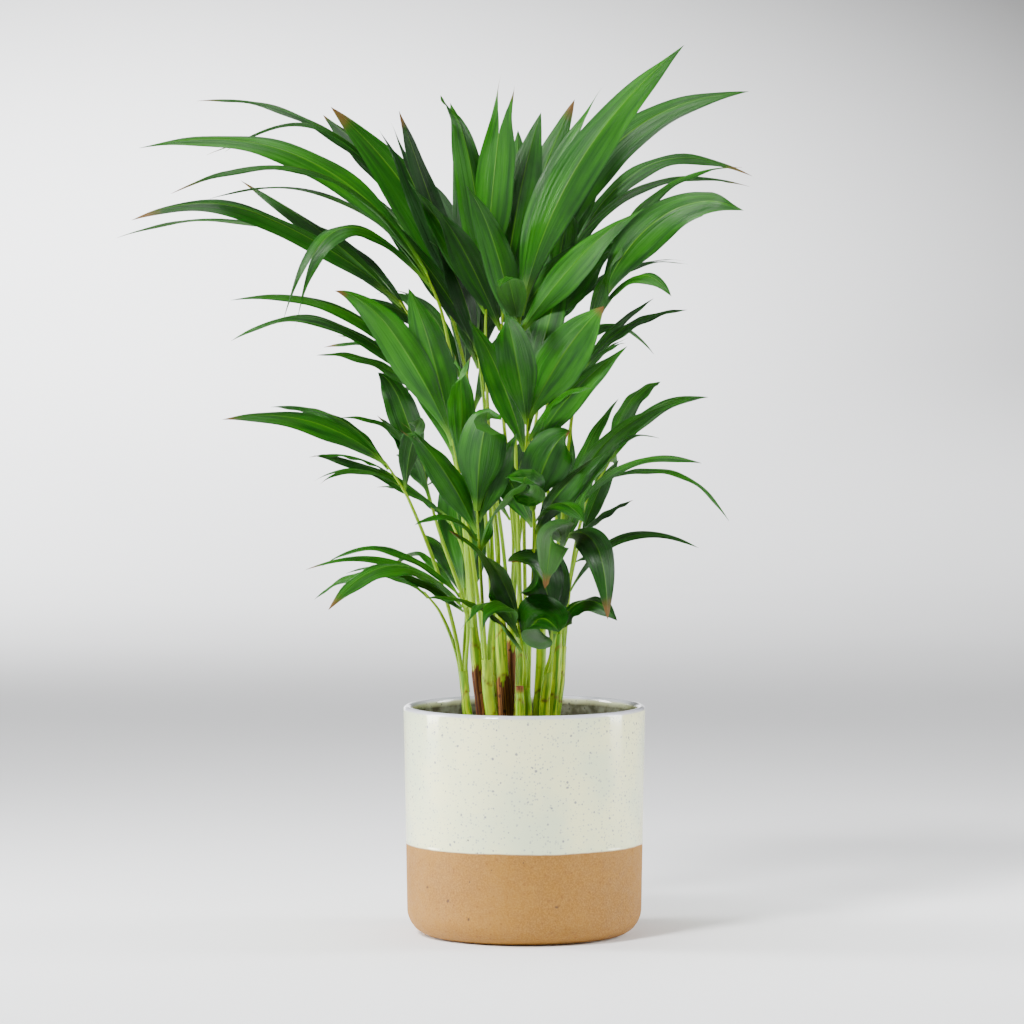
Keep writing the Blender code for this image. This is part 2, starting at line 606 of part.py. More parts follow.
class Stalk:
    """A petiole, from its cane to the collar, and the rachis from there to the frond's end."""

    def __init__(self, frond, start, axis, shift):
        self.start = start
        self.axis = axis
        self.collar = placed(*frond.collar) + shift
        self.end = placed(*frond.end) + shift
        self.rise = (self.collar - start).length
        self.reach = (self.end - self.collar).length
        self.bend = ((self.collar - start).normalized() + (self.end - self.collar).normalized()).normalized()

    def petiole(self, share):
        """A point of the petiole."""
        return hermite(self.start, self.collar, self.axis * self.rise, self.bend * self.rise, share)

    def rachis(self, distance):
        """A point of the rachis, this far from the collar."""
        arriving = self.end - self.collar
        return hermite(self.collar, self.end, self.bend * self.reach, arriving, distance / self.reach)

    def roots(self, blades):
        """How far along the rachis each blade is rooted, and its root's length. The furthest takes the end."""
        pitch = min(BLADE_PITCH, self.reach / (len(blades) + 1))
        places = {}
        limit = self.reach + pitch
        for left, blade in zip(range(len(blades), 0, -1), sorted(blades, key=lambda b: -b.at)):
            wanted = blade.at * self.reach if places else limit
            places[blade] = max(min(wanted, limit), pitch * (left - 0.5))
            limit = (places[blade] if len(places) > 1 else self.reach) - pitch * 0.9
        return places, pitch * 0.6

    def solid(self, blades, grow=0.0):
        """The stalk, thinning towards its end, with a ring before and after each blade's root."""
        places, length = self.roots(blades)
        inner = [place for place in places.values() if place < self.reach]
        distances = sorted(place + way * length / 2 for place in inner for way in (-1, 1))
        line = [self.petiole(k / PETIOLE_STEPS) for k in range(PETIOLE_STEPS)]
        line += [self.rachis(distance) for distance in (*distances, self.reach)]
        last = len(line) - 1
        radii = [PETIOLE_RADIUS + (RACHIS_END_RADIUS - PETIOLE_RADIUS) * (k / last) ** 2 + grow
                 for k in range(last + 1)]
        return tube(line, radii, STALK_SIDES)


# Blades --------------------------------------------------------------------------------------

def blade_width(share):
    """A blade's width at this share of its length, as a share of its greatest."""
    if share < 0.36:
        return 0.13 + 0.87 * math.sin(math.pi * share / 0.72) ** 2
    return math.cos(math.pi / 2 * (share - 0.36) / 0.64) ** 0.8


class Leaflet:
    """A blade grown towards a tip: an arched, tapering strip, thickest along its midrib."""

    def __init__(self, blade, base, rachis, tip):
        chord = tip - base
        along = chord.normalized()
        above = (UP - along * UP.dot(along) + 0.02 * FRONT).normalized()
        peak = (base + tip) / 2 + above * (2 * blade.arch * chord.length)
        self.line = [base * (1 - s) ** 2 + peak * (2 * s * (1 - s)) + tip * s**2 for s in (0, *BLADE_STATIONS)]
        self.width = blade.width * MM * PALM_SCALE * BLADE_WIDTH_SCALE
        self.face = blade.face
        side = rachis.cross(UP)
        self.inward = (side.cross(rachis) + 0.6 * UP).normalized()

    def rings(self, grow=0.0):
        """The sections after the root: edge, crown, edge and keel. The last is the tip."""
        made = []
        for k, share in enumerate(BLADE_STATIONS, start=1):
            along = (self.line[min(k + 1, len(self.line) - 1)] - self.line[k - 1]).normalized()
            turn = self.face * (1 - 0.45 * share)
            wanted = self.inward * (1 - abs(turn)) + FRONT * turn
            normal = (wanted - along * wanted.dot(along)).normalized()
            across = along.cross(normal)
            half = self.width * blade_width(share) / 2 + grow
            slim = 0.45 + 0.55 * blade_width(share)
            made.append([
                self.line[k] - across * half,
                self.line[k] + normal * (BLADE_CROWN * slim + grow),
                self.line[k] + across * half,
                self.line[k] - normal * (BLADE_KEEL * slim + grow),
            ])
        made[-1] = [self.line[-1]]
        return made

    def root(self, grow=0.0, start=0.0):
        """The blade's first stretch, from this share of it, as a solid."""
        first = self.rings(grow)[0]
        foot = [self.line[0] + (point - self.line[1]).normalized() * (PETIOLE_RADIUS + grow) for point in first]
        return lofted([[low.lerp(high, start) for low, high in zip(foot, first)], first])

    def finds_room(self, name, room):
        """True if the blade is clear of other fronds, and past its root clear of its own frond too."""
        return (room.clear(name, self.root(BLADE_AIR), root=True)
                and room.clear(name, self.root(start=NECK))
                and room.clear(name, self.outer(BLADE_AIR)))

    def stand(self, name, room):
        """Takes its place."""
        room.add(name, self.root(), root=True)
        room.add(name, self.root(start=NECK))
        room.add(name, self.outer())

    def outer(self, grow=0.0):
        """The rest of it, as a solid."""
        return lofted(self.rings(grow))


def tips_of(blade, base):
    """The blade's tip as drawn, then the others that it may take to find room, to the front and back first."""
    chord = placed(*blade.tip) - base
    sideways = chord.cross(FRONT).normalized()
    for share in BLADE_SHARES:
        yield base + chord * share
        for way in WAYS:
            axis = turned_about(sideways, chord, way)
            for turn in BLADE_TURNS:
                yield base + turned_about(chord * share, axis, turn)
                yield base + turned_about(chord * share, axis, -turn)


def aside_shifts():
    """No shift, then small ones, in millimetres, to the front and back first."""
    yield Vector((0, 0, 0))
    for way in WAYS:
        for reach in SHIFTS:
            yield turned_about(FRONT, UP, way) * reach
            yield turned_about(FRONT, UP, way) * -reach


# Finding room --------------------------------------------------------------------------------

class Room:
    """The solids that stand so far, to test whether a new one is clear of them."""

    def __init__(self):
        self.standing = []

    def add(self, owner, solid, root=False):
        """Takes a solid in."""
        self.standing.append((owner, root, BVHTree.FromPolygons(*solid), *box(solid)))

    def clear(self, owner, solid, root=False):
        """True if the solid meets no other. Where one is a root, it may meet the rest of its own frond."""
        low, high = box(solid)
        tree = None
        for other, other_root, standing, other_low, other_high in self.standing:
            if other == owner and (root or other_root):
                continue
            if any(low[k] > other_high[k] or other_low[k] > high[k] for k in range(3)):
                continue
            tree = tree or BVHTree.FromPolygons(*solid)
            if tree.overlap(standing):
                return False
        return True


def box(solid):
    """The lowest and highest corner of a solid."""
    return [[pick(point[k] for point in solid[0]) for k in range(3)] for pick in (min, max)]


def grow_stalks(room, canes):
    """Each frond's stalk, bowed aside where another stands in the way."""
    plants = {**FRONDS, **SPEARS}
    stalks = {}
    for name, (start, axis) in starts_of(plants, canes).items():
        for shift in aside_shifts():
            stalk = Stalk(plants[name], start, axis, shift * MM)
            if room.clear(name, stalk.solid(plants[name].blades, BLADE_AIR / 2)):
                break
        room.add(name, stalk.solid(plants[name].blades))
        stalks[name] = stalk
    return stalks


def grow_fronds(stalks, room):
    """Each frond as a solid. The blades take their places in rounds: every frond's first, then its second."""
    solids = {name: stalks[name].solid(frond.blades) for name, frond in FRONDS.items()}
    for turn in range(max(len(frond.blades) for frond in FRONDS.values())):
        for name, frond in FRONDS.items():
            if turn < len(frond.blades):
                solids[name] = with_blade(name, frond, frond.blades[turn], stalks[name], solids[name], room)
    return solids


def with_blade(name, frond, blade, stalk, solid, room):
    """The frond with one more blade, turned aside or shortened where others stand in the way."""
    places, length = stalk.roots(frond.blades)
    place = min(places[blade], stalk.reach)
    middle = stalk.rachis(place)
    rachis = (middle - stalk.rachis(place - length)).normalized()
    sides = stalk.solid(frond.blades)[1]
    for tip in tips_of(blade, middle):
        face = root_face(solid, sides, middle, tip)
        leaflet = Leaflet(blade, centre_of([solid[0][k] for k in face]), rachis, tip)
        if not leaflet.finds_room(name, room):
            continue
        grown = grown_from((list(solid[0]), list(solid[1])), face, leaflet.rings())
        if not cuts_itself(grown, len(solid[1]) - 1):
            leaflet.stand(name, room)
            return grown
    return solid


def cuts_itself(solid, first):
    """True if a face from the first new one on meets a face that it shares no corner with."""
    points, faces = solid
    tree = BVHTree.FromPolygons(points, faces)
    return any(max(one, two) >= first and not set(faces[one]) & set(faces[two])
               for one, two in tree.overlap(tree))


def root_face(solid, sides, base, tip):
    """The free side of the stalk, round the base, that looks most towards the tip."""
    points, faces = solid
    toward = (tip - base).normalized()

    def looks(face):
        """How well this side suits: near the base, and turned to the tip."""
        middle = centre_of([points[k] for k in face])
        return (middle - base).dot(toward) - 3 * abs((middle - base).length - PETIOLE_RADIUS / 2)

    return max((face for face in faces if face in sides), key=looks)


def build_palm(stem, petiole):
    """The canes, the cut stub, the spears and the fronds. Returns the canes as they stand."""
    room = Room()
    canes = grow_canes(room)
    for name, cane in canes.items():
        add_solid(name, cane_solid(cane), stem)
    stalks = grow_stalks(room, canes)
    for name in SPEARS:
        add_solid(name, stalks[name].solid(()), petiole)
    for name, solid in grow_fronds(stalks, room).items():
        add_solid(name, solid, petiole)
    return canes


def main():
    """Clears the scene and builds every piece."""
    for leftover in list(bpy.data.objects):
        bpy.data.objects.remove(leftover)
    build_pot(material("speckled stoneware", (0.72, 0.70, 0.58), 0.3))
    build_nursery_pot(material("black plastic", (0.03, 0.03, 0.03), 0.5))
    canes = build_palm(material("cane", (0.45, 0.62, 0.14), 0.45), material("frond", (0.07, 0.28, 0.03), 0.4))
    build_soil(material("potting soil", (0.05, 0.035, 0.02), 0.95), canes)


main()
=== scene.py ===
"""The looks of a young areca palm in a nursery pot, set in a two-tone stoneware cache pot.

Metres, +Z up, the palm's front towards -Y, the origin at the centre of the pot's flat foot. Each sub-assembly
is a class that holds its sizes and builds its meshes. Each finish is a small class that builds its material.
The tables of canes and fronds are drawn in millimetres, with heights measured from DATUM below the soil.
"""

from __future__ import annotations

import logging
import math
import random
from collections.abc import Iterator, Sequence
from dataclasses import dataclass, field
from enum import Enum
from typing import NamedTuple

import bpy
import bmesh
from mathutils import Matrix, Vector, noise
from mathutils.bvhtree import BVHTree

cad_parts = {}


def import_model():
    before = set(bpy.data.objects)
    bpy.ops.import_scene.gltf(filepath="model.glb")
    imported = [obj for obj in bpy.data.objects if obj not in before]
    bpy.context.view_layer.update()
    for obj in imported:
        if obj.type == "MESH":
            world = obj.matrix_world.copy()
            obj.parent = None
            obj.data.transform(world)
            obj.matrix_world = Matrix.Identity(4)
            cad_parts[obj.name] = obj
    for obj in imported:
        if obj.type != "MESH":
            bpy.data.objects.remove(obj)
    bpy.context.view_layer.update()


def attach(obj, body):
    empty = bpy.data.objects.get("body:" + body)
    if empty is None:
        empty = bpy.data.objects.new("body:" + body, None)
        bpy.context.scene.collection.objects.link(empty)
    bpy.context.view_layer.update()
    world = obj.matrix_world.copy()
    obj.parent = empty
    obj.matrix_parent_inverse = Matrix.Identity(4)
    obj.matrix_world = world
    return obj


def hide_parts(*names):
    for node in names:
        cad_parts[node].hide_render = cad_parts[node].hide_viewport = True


LOG = logging.getLogger("potted_palm")
MM = 0.001
BODY = "root"
FRONT = Vector((0, -1, 0))
UP = Vector((0, 0, 1))
DATUM = 109

Socket = bpy.types.NodeSocket
Value = "Socket | float | tuple | Vector"
Pair = tuple[float, float]
Triple = tuple[float, float, float]
Solid = tuple[list[Vector], list[tuple[int, ...]]]


# Node trees

def shade(red: int, green: int, blue: int) -> Triple:
    """Turns a gamma-coded colour, each part 0 to 255, into a linear one."""
    return tuple(((c / 255 + 0.055) / 1.055) ** 2.4 if c > 10 else c / 255 / 12.92 for c in (red, green, blue))


class Tree:
    """A node tree that is being filled in."""

    def __init__(self, tree: bpy.types.NodeTree) -> None:
        """Takes a material's or a group's tree."""
        self.tree = tree
        self.place = 0

    def add(self, kind: str, *values: Value | None, **settings: object) -> bpy.types.Node:
        """Adds a node.

        Args:
            kind: The node's type, without its ShaderNode prefix.
            values: Its inputs in order. None leaves one as it is.
            settings: Its properties by name.

        Returns:
            The node.
        """
        node = self.tree.nodes.new(kind if kind.startswith("NodeGroup") else "ShaderNode" + kind)
        node.location = (self.place * 180, -(self.place % 5) * 160)
        self.place += 1
        for name, value in settings.items():
            setattr(node, name, value)
        for socket, value in zip(node.inputs, values):
            if value is not None:
                self.feed(socket, value)
        return node

    def feed(self, socket: Socket, value: Value) -> None:
        """Links a socket into another, or sets it to a constant.

        Args:
            socket: The input.
            value: What it takes.
        """
        if isinstance(value, bpy.types.NodeSocket):
            self.tree.links.new(value, socket)
        elif isinstance(value, tuple) and len(value) == 3 and socket.type == "RGBA":
            socket.default_value = (*value, 1)
        else:
            socket.default_value = value

    def math(self, operation: str, *values: Value, clamp: bool = False) -> Socket:
        """The result of an operation on these inputs, held between 0 and 1 if it is clamped."""
        return self.add("Math", *values, operation=operation, use_clamp=clamp).outputs[0]

    def mix(self, share: Value, first: Value, second: Value) -> Socket:
        """Mixes two colours.

        Args:
            share: How much of the second.
            first: A colour.
            second: A colour.

        Returns:
            The mixed colour.
        """
        node = self.add("Mix", share, data_type="RGBA")
        self.feed(node.inputs[6], first)
        self.feed(node.inputs[7], second)
        return node.outputs[2]

    def step(self, value: Value, low: float, high: float, start: float = 0.0, stop: float = 1.0) -> Socket:
        """Maps a value smoothly: up to low it gives start, and from high it gives stop."""
        return self.add("MapRange", value, low, high, start, stop, interpolation_type="SMOOTHSTEP").outputs[0]

    def here(self) -> Socket:
        """Where the surface is, in the object's own metres."""
        return self.add("TexCoord").outputs["Object"]

    def attribute(self, name: str) -> Socket:
        """A number that the mesh carries under this name."""
        return self.add("Attribute", attribute_name=name).outputs["Fac"]

    def group(self, group: bpy.types.NodeTree, **values: Value) -> bpy.types.Node:
        """Places a node group.

        Args:
            group: The group.
            values: Its inputs by name.

        Returns:
            The group's node.
        """
        node = self.add("Group", node_tree=group)
        for name, value in values.items():
            self.feed(node.inputs[name], value)
        return node


def new_group(name: str, inputs: dict[str, str], outputs: dict[str, str]) -> tuple[Tree, dict, dict]:
    """Starts a shader node group.

    Args:
        name: Its name.
        inputs: Socket types by name.
        outputs: Socket types by name.

    Returns:
        Its tree, the sockets that bring its inputs, and the sockets that take its outputs.
    """
    group = bpy.data.node_groups.new(name, "ShaderNodeTree")
    for way, sockets in (("INPUT", inputs), ("OUTPUT", outputs)):
        for label, kind in sockets.items():
            group.interface.new_socket(label, in_out=way, socket_type="NodeSocket" + kind)
    tree = Tree(group)
    brought = tree.add("NodeGroupInput")
    taken = tree.add("NodeGroupOutput")
    return tree, {s.name: s for s in brought.outputs if s.name}, {s.name: s for s in taken.inputs if s.name}


class Effects:
    """The effects that several finishes share, each built once as a node group."""

    def __init__(self) -> None:
        """Builds the groups."""
        self.flecks = self._flecks()
        self.mottle = self._mottle()
        self.fibres = self._fibres()

    @staticmethod
    def _flecks() -> bpy.types.NodeTree:
        """Builds scattered specks of uneven size.

        Returns:
            A group that puts out a mask.
        """
        tree, brought, taken = new_group(
            "flecks", {"Place": "Vector", "Scale": "Float", "Share": "Float", "Size": "Float"}, {"Mask": "Float"})
        wobble = tree.add("TexNoise", brought["Place"], None, tree.math("MULTIPLY", brought["Scale"], 2.3))
        small = tree.add("VectorMath", wobble.outputs["Color"], operation="SCALE")
        tree.feed(small.inputs["Scale"], tree.math("DIVIDE", 0.35, brought["Scale"]))
        shaken = tree.add("VectorMath", brought["Place"], small.outputs[0], operation="ADD")
        cells = tree.add("TexVoronoi", shaken.outputs[0])
        tree.feed(cells.inputs["Scale"], brought["Scale"])
        split = tree.add("SeparateColor", cells.outputs["Color"])
        chosen = tree.math("LESS_THAN", split.outputs[0], brought["Share"])
        reach = tree.math("MULTIPLY", brought["Size"], tree.math("ADD", split.outputs[1], 0.25))
        inside = tree.math("SUBTRACT", 1.0, tree.math("DIVIDE", cells.outputs["Distance"], reach), clamp=True)
        tree.feed(taken["Mask"], tree.math("MULTIPLY", chosen, tree.step(inside, 0.0, 0.45)))
        return tree.tree

    @staticmethod
    def _mottle() -> bpy.types.NodeTree:
        """Builds soft cloudy unevenness at two sizes.

        Returns:
            A group that puts out a value about 0.5, and a finer one.
        """
        tree, brought, taken = new_group(
            "mottle", {"Place": "Vector", "Scale": "Float"}, {"Broad": "Float", "Fine": "Float"})
        for name, factor in (("Broad", 1.0), ("Fine", 7.0)):
            cloud = tree.add("TexNoise", brought["Place"], None, tree.math("MULTIPLY", brought["Scale"], factor), 4)
            tree.feed(taken[name], cloud.outputs["Fac"])
        return tree.tree

    @staticmethod
    def _fibres() -> bpy.types.NodeTree:
        """Builds lengthwise fibres over a surface unrolled as across and along.

        Returns:
            A group that puts out the fibres' height and a slower streak.
        """
        tree, brought, taken = new_group(
            "fibres", {"Across": "Float", "Along": "Float", "Count": "Float", "Seed": "Float"},
            {"Height": "Float", "Streak": "Float"})
        for name, count, drift in (("Height", 1.0, 1.2), ("Streak", 0.22, 2.5)):
            across = tree.math("MULTIPLY", brought["Across"], tree.math("MULTIPLY", brought["Count"], count))
            join = tree.add("CombineXYZ", across, tree.math("MULTIPLY", brought["Along"], drift),
                            tree.math("MULTIPLY", brought["Seed"], 37.0))
            tree.feed(taken[name], tree.add("TexNoise", join.outputs[0], None, 1.0, 2.0).outputs["Fac"])
        return tree.tree


class Finish:
    """A finish that is built once as a material."""

    name = "finish"
    slot = "slot"

    def __init__(self, effects: Effects) -> None:
        """Builds the material.

        Args:
            effects: The shared node groups.
        """
        self.material = bpy.data.materials.new(self.name)
        self.material.use_nodes = True
        self.tree = Tree(self.material.node_tree)
        self.shader = self.material.node_tree.nodes["Principled BSDF"]
        self.build(effects)

    def build(self, effects: Effects) -> None:
        """Fills in the material's nodes."""

    def colour(self, value: Value) -> None:
        """Feeds the base colour."""
        self.tree.feed(self.shader.inputs["Base Color"], value)

    def roughness(self, value: Value) -> None:
        """Feeds the roughness."""
        self.tree.feed(self.shader.inputs["Roughness"], value)

    def relief(self, height: Socket, depth: float) -> None:
        """Feeds the normal from a height.

        Args:
            height: The height, 0 to 1.
            depth: How deep 1 is, in metres.
        """
        bump = self.tree.add("Bump")
        self.tree.feed(bump.inputs["Height"], height)
        bump.inputs["Distance"].default_value = depth
        self.tree.feed(self.shader.inputs["Normal"], bump.outputs[0])


# Finishes

class StonewareFinish(Finish):
    """Cream reactive glaze with fine specks over bare tan clay, which the mesh's glaze value tells apart, with
    painted shade inside the pot.
    """

    name = "speckled stoneware"
    slot = "stoneware"

    def build(self, effects: Effects) -> None:
        """Mixes glaze and clay by the mesh's glaze, inside and rim values; the inside value paints shade.

        Args:
            effects: The shared node groups.
        """
        tree = self.tree
        here = tree.here()
        glazed = tree.attribute("glaze")
        cloud = tree.group(effects.mottle, Place=here, Scale=22.0)
        fine = tree.group(effects.flecks, Place=here, Scale=640.0, Share=0.42, Size=0.46)
        specks = tree.group(effects.flecks, Place=here, Scale=420.0, Share=0.13, Size=0.38)
        spots = tree.group(effects.flecks, Place=here, Scale=150.0, Share=0.035, Size=0.18)
        glaze = tree.mix(tree.step(cloud.outputs["Broad"], 0.35, 0.65), shade(242, 243, 186), shade(218, 230, 188))
        glaze = tree.mix(tree.math("MULTIPLY", fine.outputs["Mask"], 0.62), glaze, shade(138, 146, 148))
        glaze = tree.mix(tree.math("MULTIPLY", specks.outputs["Mask"], 0.9), glaze, shade(112, 116, 124))
        glaze = tree.mix(tree.math("MULTIPLY", spots.outputs["Mask"], 0.9), glaze, shade(60, 58, 62))
        glaze = tree.mix(tree.attribute("rim"), glaze, shade(206, 206, 216))
        # Painted shade: below the lip, the glaze inside the pot is darkened to a mottled olive with dark specks.
        inside_shade = tree.mix(tree.step(cloud.outputs["Fine"], 0.35, 0.7), shade(70, 68, 52), shade(118, 120, 102))
        inside_shade = tree.mix(tree.math("MULTIPLY", specks.outputs["Mask"], 0.8), inside_shade, shade(60, 60, 56))
        glaze = tree.mix(tree.attribute("inside"), glaze, inside_shade)
        glaze = tree.mix(tree.attribute("hem"), glaze, shade(176, 140, 96))
        grain = tree.group(effects.mottle, Place=here, Scale=150.0)
        grit = tree.group(effects.flecks, Place=here, Scale=480.0, Share=0.35, Size=0.42)
        iron = tree.group(effects.flecks, Place=here, Scale=150.0, Share=0.16, Size=0.22)
        clay = tree.mix(tree.step(cloud.outputs["Broad"], 0.3, 0.7), shade(147, 103, 33), shade(132, 90, 28))
        clay = tree.mix(tree.step(grain.outputs["Fine"], 0.35, 0.75), clay, shade(162, 118, 46))
        clay = tree.mix(tree.math("MULTIPLY", grit.outputs["Mask"], 0.45), clay, shade(112, 66, 24))
        clay = tree.mix(tree.math("MULTIPLY", iron.outputs["Mask"], 0.85), clay, shade(82, 56, 38))
        self.colour(tree.mix(glazed, clay, glaze))
        matt = tree.step(grain.outputs["Broad"], 0.3, 0.7, 0.72, 0.86)
        sheen = tree.step(cloud.outputs["Fine"], 0.3, 0.7, 0.07, 0.14)
        self.roughness(tree.math("ADD", tree.math("MULTIPLY", matt, tree.math("SUBTRACT", 1.0, glazed)),
                                 tree.math("MULTIPLY", sheen, glazed)))
        pitted = tree.math("MULTIPLY", fine.outputs["Mask"], 0.12)
        rough = tree.math("SUBTRACT", grain.outputs["Fine"], tree.math("MULTIPLY", iron.outputs["Mask"], 0.5))
        height = tree.math("ADD", tree.math("MULTIPLY", rough, tree.math("SUBTRACT", 1.0, glazed)),
                           tree.math("MULTIPLY", tree.math("SUBTRACT", cloud.outputs["Fine"], pitted),
                                     tree.math("MULTIPLY", glazed, 0.22)))
        self.relief(height, 0.25 * MM)
        tree.feed(self.shader.inputs["Coat Weight"], tree.math("MULTIPLY", glazed, 0.5))
        self.shader.inputs["Coat Roughness"].default_value = 0.05


class PlasticFinish(Finish):
    """Thin black moulded plastic, dusty with dried soil in patches."""

    name = "nursery pot plastic"
    slot = "nursery_plastic"

    def build(self, effects: Effects) -> None:
        """Mixes clean plastic and dust.

        Args:
            effects: The shared node groups.
        """
        tree = self.tree
        here = tree.here()
        cloud = tree.group(effects.mottle, Place=here, Scale=45.0)
        dust = tree.group(effects.flecks, Place=here, Scale=420.0, Share=0.25, Size=0.5)
        film = tree.step(cloud.outputs["Fine"], 0.5, 0.75, 0.0, 0.35)
        base = tree.mix(film, shade(26, 27, 28), shade(74, 66, 56))
        self.colour(tree.mix(tree.math("MULTIPLY", dust.outputs["Mask"], 0.5), base, shade(92, 78, 62)))
        self.roughness(tree.step(cloud.outputs["Broad"], 0.3, 0.7, 0.36, 0.55))
        self.relief(cloud.outputs["Fine"], 0.12 * MM)


class SoilFinish(Finish):
    """Moist peat with fibres, bark crumbs and a little white perlite."""

    name = "potting soil"
    slot = "soil"

    def build(self, effects: Effects) -> None:
        """Mixes peat, bark and perlite.

        Args:
            effects: The shared node groups.
        """
        tree = self.tree
        here = tree.here()
        cloud = tree.group(effects.mottle, Place=here, Scale=110.0)
        bark = tree.group(effects.flecks, Place=here, Scale=260.0, Share=0.4, Size=0.5)
        perlite = tree.group(effects.flecks, Place=here, Scale=180.0, Share=0.05, Size=0.34)
        peat = tree.mix(tree.step(cloud.outputs["Fine"], 0.3, 0.7), shade(44, 33, 24), shade(82, 62, 44))
        peat = tree.mix(tree.math("MULTIPLY", bark.outputs["Mask"], 0.6), peat, shade(108, 78, 50))
        crumb = tree.attribute("crumb")
        peat = tree.mix(tree.step(crumb, 0.15, 0.6, 0.0, 0.55), peat, shade(118, 84, 54))
        self.colour(tree.mix(tree.math("MAXIMUM", perlite.outputs["Mask"], tree.step(crumb, 0.88, 0.9)),
                             peat, shade(214, 208, 196)))
        self.roughness(tree.step(cloud.outputs["Broad"], 0.35, 0.7, 0.78, 0.97))
        self.relief(tree.math("ADD", cloud.outputs["Fine"], bark.outputs["Mask"]), 0.7 * MM)


class CaneFinish(Finish):
    """Smooth wrapped leaf bases, yellow-green with pale streaks, and brown where a sheath has dried."""

    name = "cane"
    slot = "cane"

    def build(self, effects: Effects) -> None:
        """Mixes green, streaks, scars and dry sheath by the mesh's values.

        Args:
            effects: The shared node groups.
        """
        tree = self.tree
        here = tree.here()
        seed = tree.attribute("seed")
        height = tree.attribute("height")
        fibre = tree.group(effects.fibres, Across=tree.attribute("round"), Along=height, Count=46.0, Seed=seed)
        cloud = tree.group(effects.mottle, Place=here, Scale=60.0)
        spots = tree.group(effects.flecks, Place=here, Scale=330.0, Share=0.22, Size=0.45)
        green = tree.mix(seed, shade(118, 160, 6), shade(62, 118, 2))
        green = tree.mix(tree.step(fibre.outputs["Streak"], 0.40, 0.62), green, shade(170, 196, 22))
        green = tree.mix(tree.step(cloud.outputs["Broad"], 0.52, 0.72, 0.0, 0.55), green, shade(98, 146, 42))
        green = tree.mix(tree.step(height, 0.0, 0.3, 0.45, 0.0), green, shade(160, 158, 36))
        dry = tree.mix(tree.step(fibre.outputs["Height"], 0.4, 0.68), shade(70, 30, 12), shade(146, 96, 44))
        dry = tree.mix(tree.math("MULTIPLY", spots.outputs["Mask"], 0.8), dry, shade(44, 20, 10))
        base = tree.mix(tree.attribute("scar"), green, shade(104, 84, 24))
        base = tree.mix(tree.math("MULTIPLY", spots.outputs["Mask"], 0.3), base, shade(96, 96, 20))
        dryness = tree.attribute("dry")
        self.colour(tree.mix(dryness, base, dry))
        self.roughness(tree.math("ADD", tree.step(fibre.outputs["Height"], 0.3, 0.7, 0.30, 0.44),
                                 tree.math("MULTIPLY", dryness, 0.4)))
        self.relief(fibre.outputs["Height"], 0.22 * MM)
        self.shader.inputs["Specular IOR Level"].default_value = 0.22


class LeafFinish(Finish):
    """Glossy pleated leaf, paler beneath, on a yellow-green stalk."""

    name = "frond"
    slot = "frond"

    def build(self, effects: Effects) -> None:
        """Mixes blade, veins, underside, dry tips and stalk by the mesh's values.

        Args:
            effects: The shared node groups.
        """
        tree = self.tree
        here = tree.here()
        across = tree.attribute("across")
        along = tree.attribute("along")
        tint_and_light = tree.attribute("tint_and_light")
        stalk = tree.attribute("stalk")
        under = tree.attribute("under")
        seed = tree.attribute("seed")
        fibre = tree.group(effects.fibres, Across=across, Along=along, Count=17.0, Seed=seed)
        thread = tree.group(effects.fibres, Across=across, Along=along, Count=70.0, Seed=seed)
        cloud = tree.group(effects.mottle, Place=here, Scale=26.0)
        # The tint is partly the leaf's own green and partly painted light: fronds facing up where the light falls are
        # set a lighter lime.
        deep = tree.mix(tint_and_light, shade(1, 17, 1), shade(10, 70, 1))
        lively = tree.mix(tint_and_light, shade(4, 46, 1), shade(52, 132, 2))
        blade = tree.mix(tree.step(fibre.outputs["Streak"], 0.2, 0.8), deep, lively)
        blade = tree.mix(tree.step(cloud.outputs["Broad"], 0.5, 0.72, 0.0, 0.5), blade, shade(2, 34, 1))
        blade = tree.mix(tree.step(thread.outputs["Height"], 0.52, 0.72, 0.0, 0.38), blade, lively)
        rib = tree.step(tree.math("ABSOLUTE", across), 0.018, 0.05, 1.0, 0.0)
        blade = tree.mix(tree.math("MULTIPLY", rib, 0.3), blade, shade(98, 156, 18))
        blade = tree.mix(tree.step(along, 0.0, 0.12, 0.6, 0.0), blade, shade(112, 168, 30))
        edge = tree.step(tree.math("ABSOLUTE", across), 0.9, 1.0)
        blade = tree.mix(tree.math("MULTIPLY", edge, 0.5), blade, shade(16, 48, 14))
        pale = tree.mix(0.3, blade, shade(66, 108, 40))
        blade = tree.mix(tree.math("MULTIPLY", under, 0.85), blade, pale)
        scorched = tree.math("MULTIPLY", tree.attribute("dry"),
                             tree.step(tree.math("ADD", along, tree.math("MULTIPLY", cloud.outputs["Fine"], 0.08)),
                                       0.93, 1.02))
        blade = tree.mix(scorched, blade, tree.mix(fibre.outputs["Height"], shade(58, 34, 10), shade(128, 92, 40)))
        stem = tree.mix(tree.step(fibre.outputs["Streak"], 0.35, 0.65), shade(76, 132, 2), shade(148, 184, 12))
        stem = tree.mix(tree.math("MULTIPLY", tint_and_light, 0.5), stem, shade(150, 184, 10))
        stem = tree.mix(tree.step(cloud.outputs["Fine"], 0.6, 0.75, 0.0, 0.4), stem, shade(52, 92, 6))
        self.colour(tree.mix(stalk, blade, stem))
        gloss = tree.step(thread.outputs["Height"], 0.3, 0.7, 0.27, 0.42)
        self.roughness(tree.math("ADD", gloss, tree.math("MULTIPLY", tree.math("MAXIMUM", under, scorched), 0.2)))
        self.relief(tree.math("ADD", fibre.outputs["Height"],
                              tree.math("MULTIPLY", thread.outputs["Height"], 0.3)), 0.35 * MM)
        self.shader.inputs["Specular IOR Level"].default_value = 0.24
        self.shader.inputs["Subsurface Weight"].default_value = 0.08
        self.shader.inputs["Subsurface Radius"].default_value = (0.3, 1.0, 0.1)
        self.shader.inputs["Subsurface Scale"].default_value = 0.6 * MM


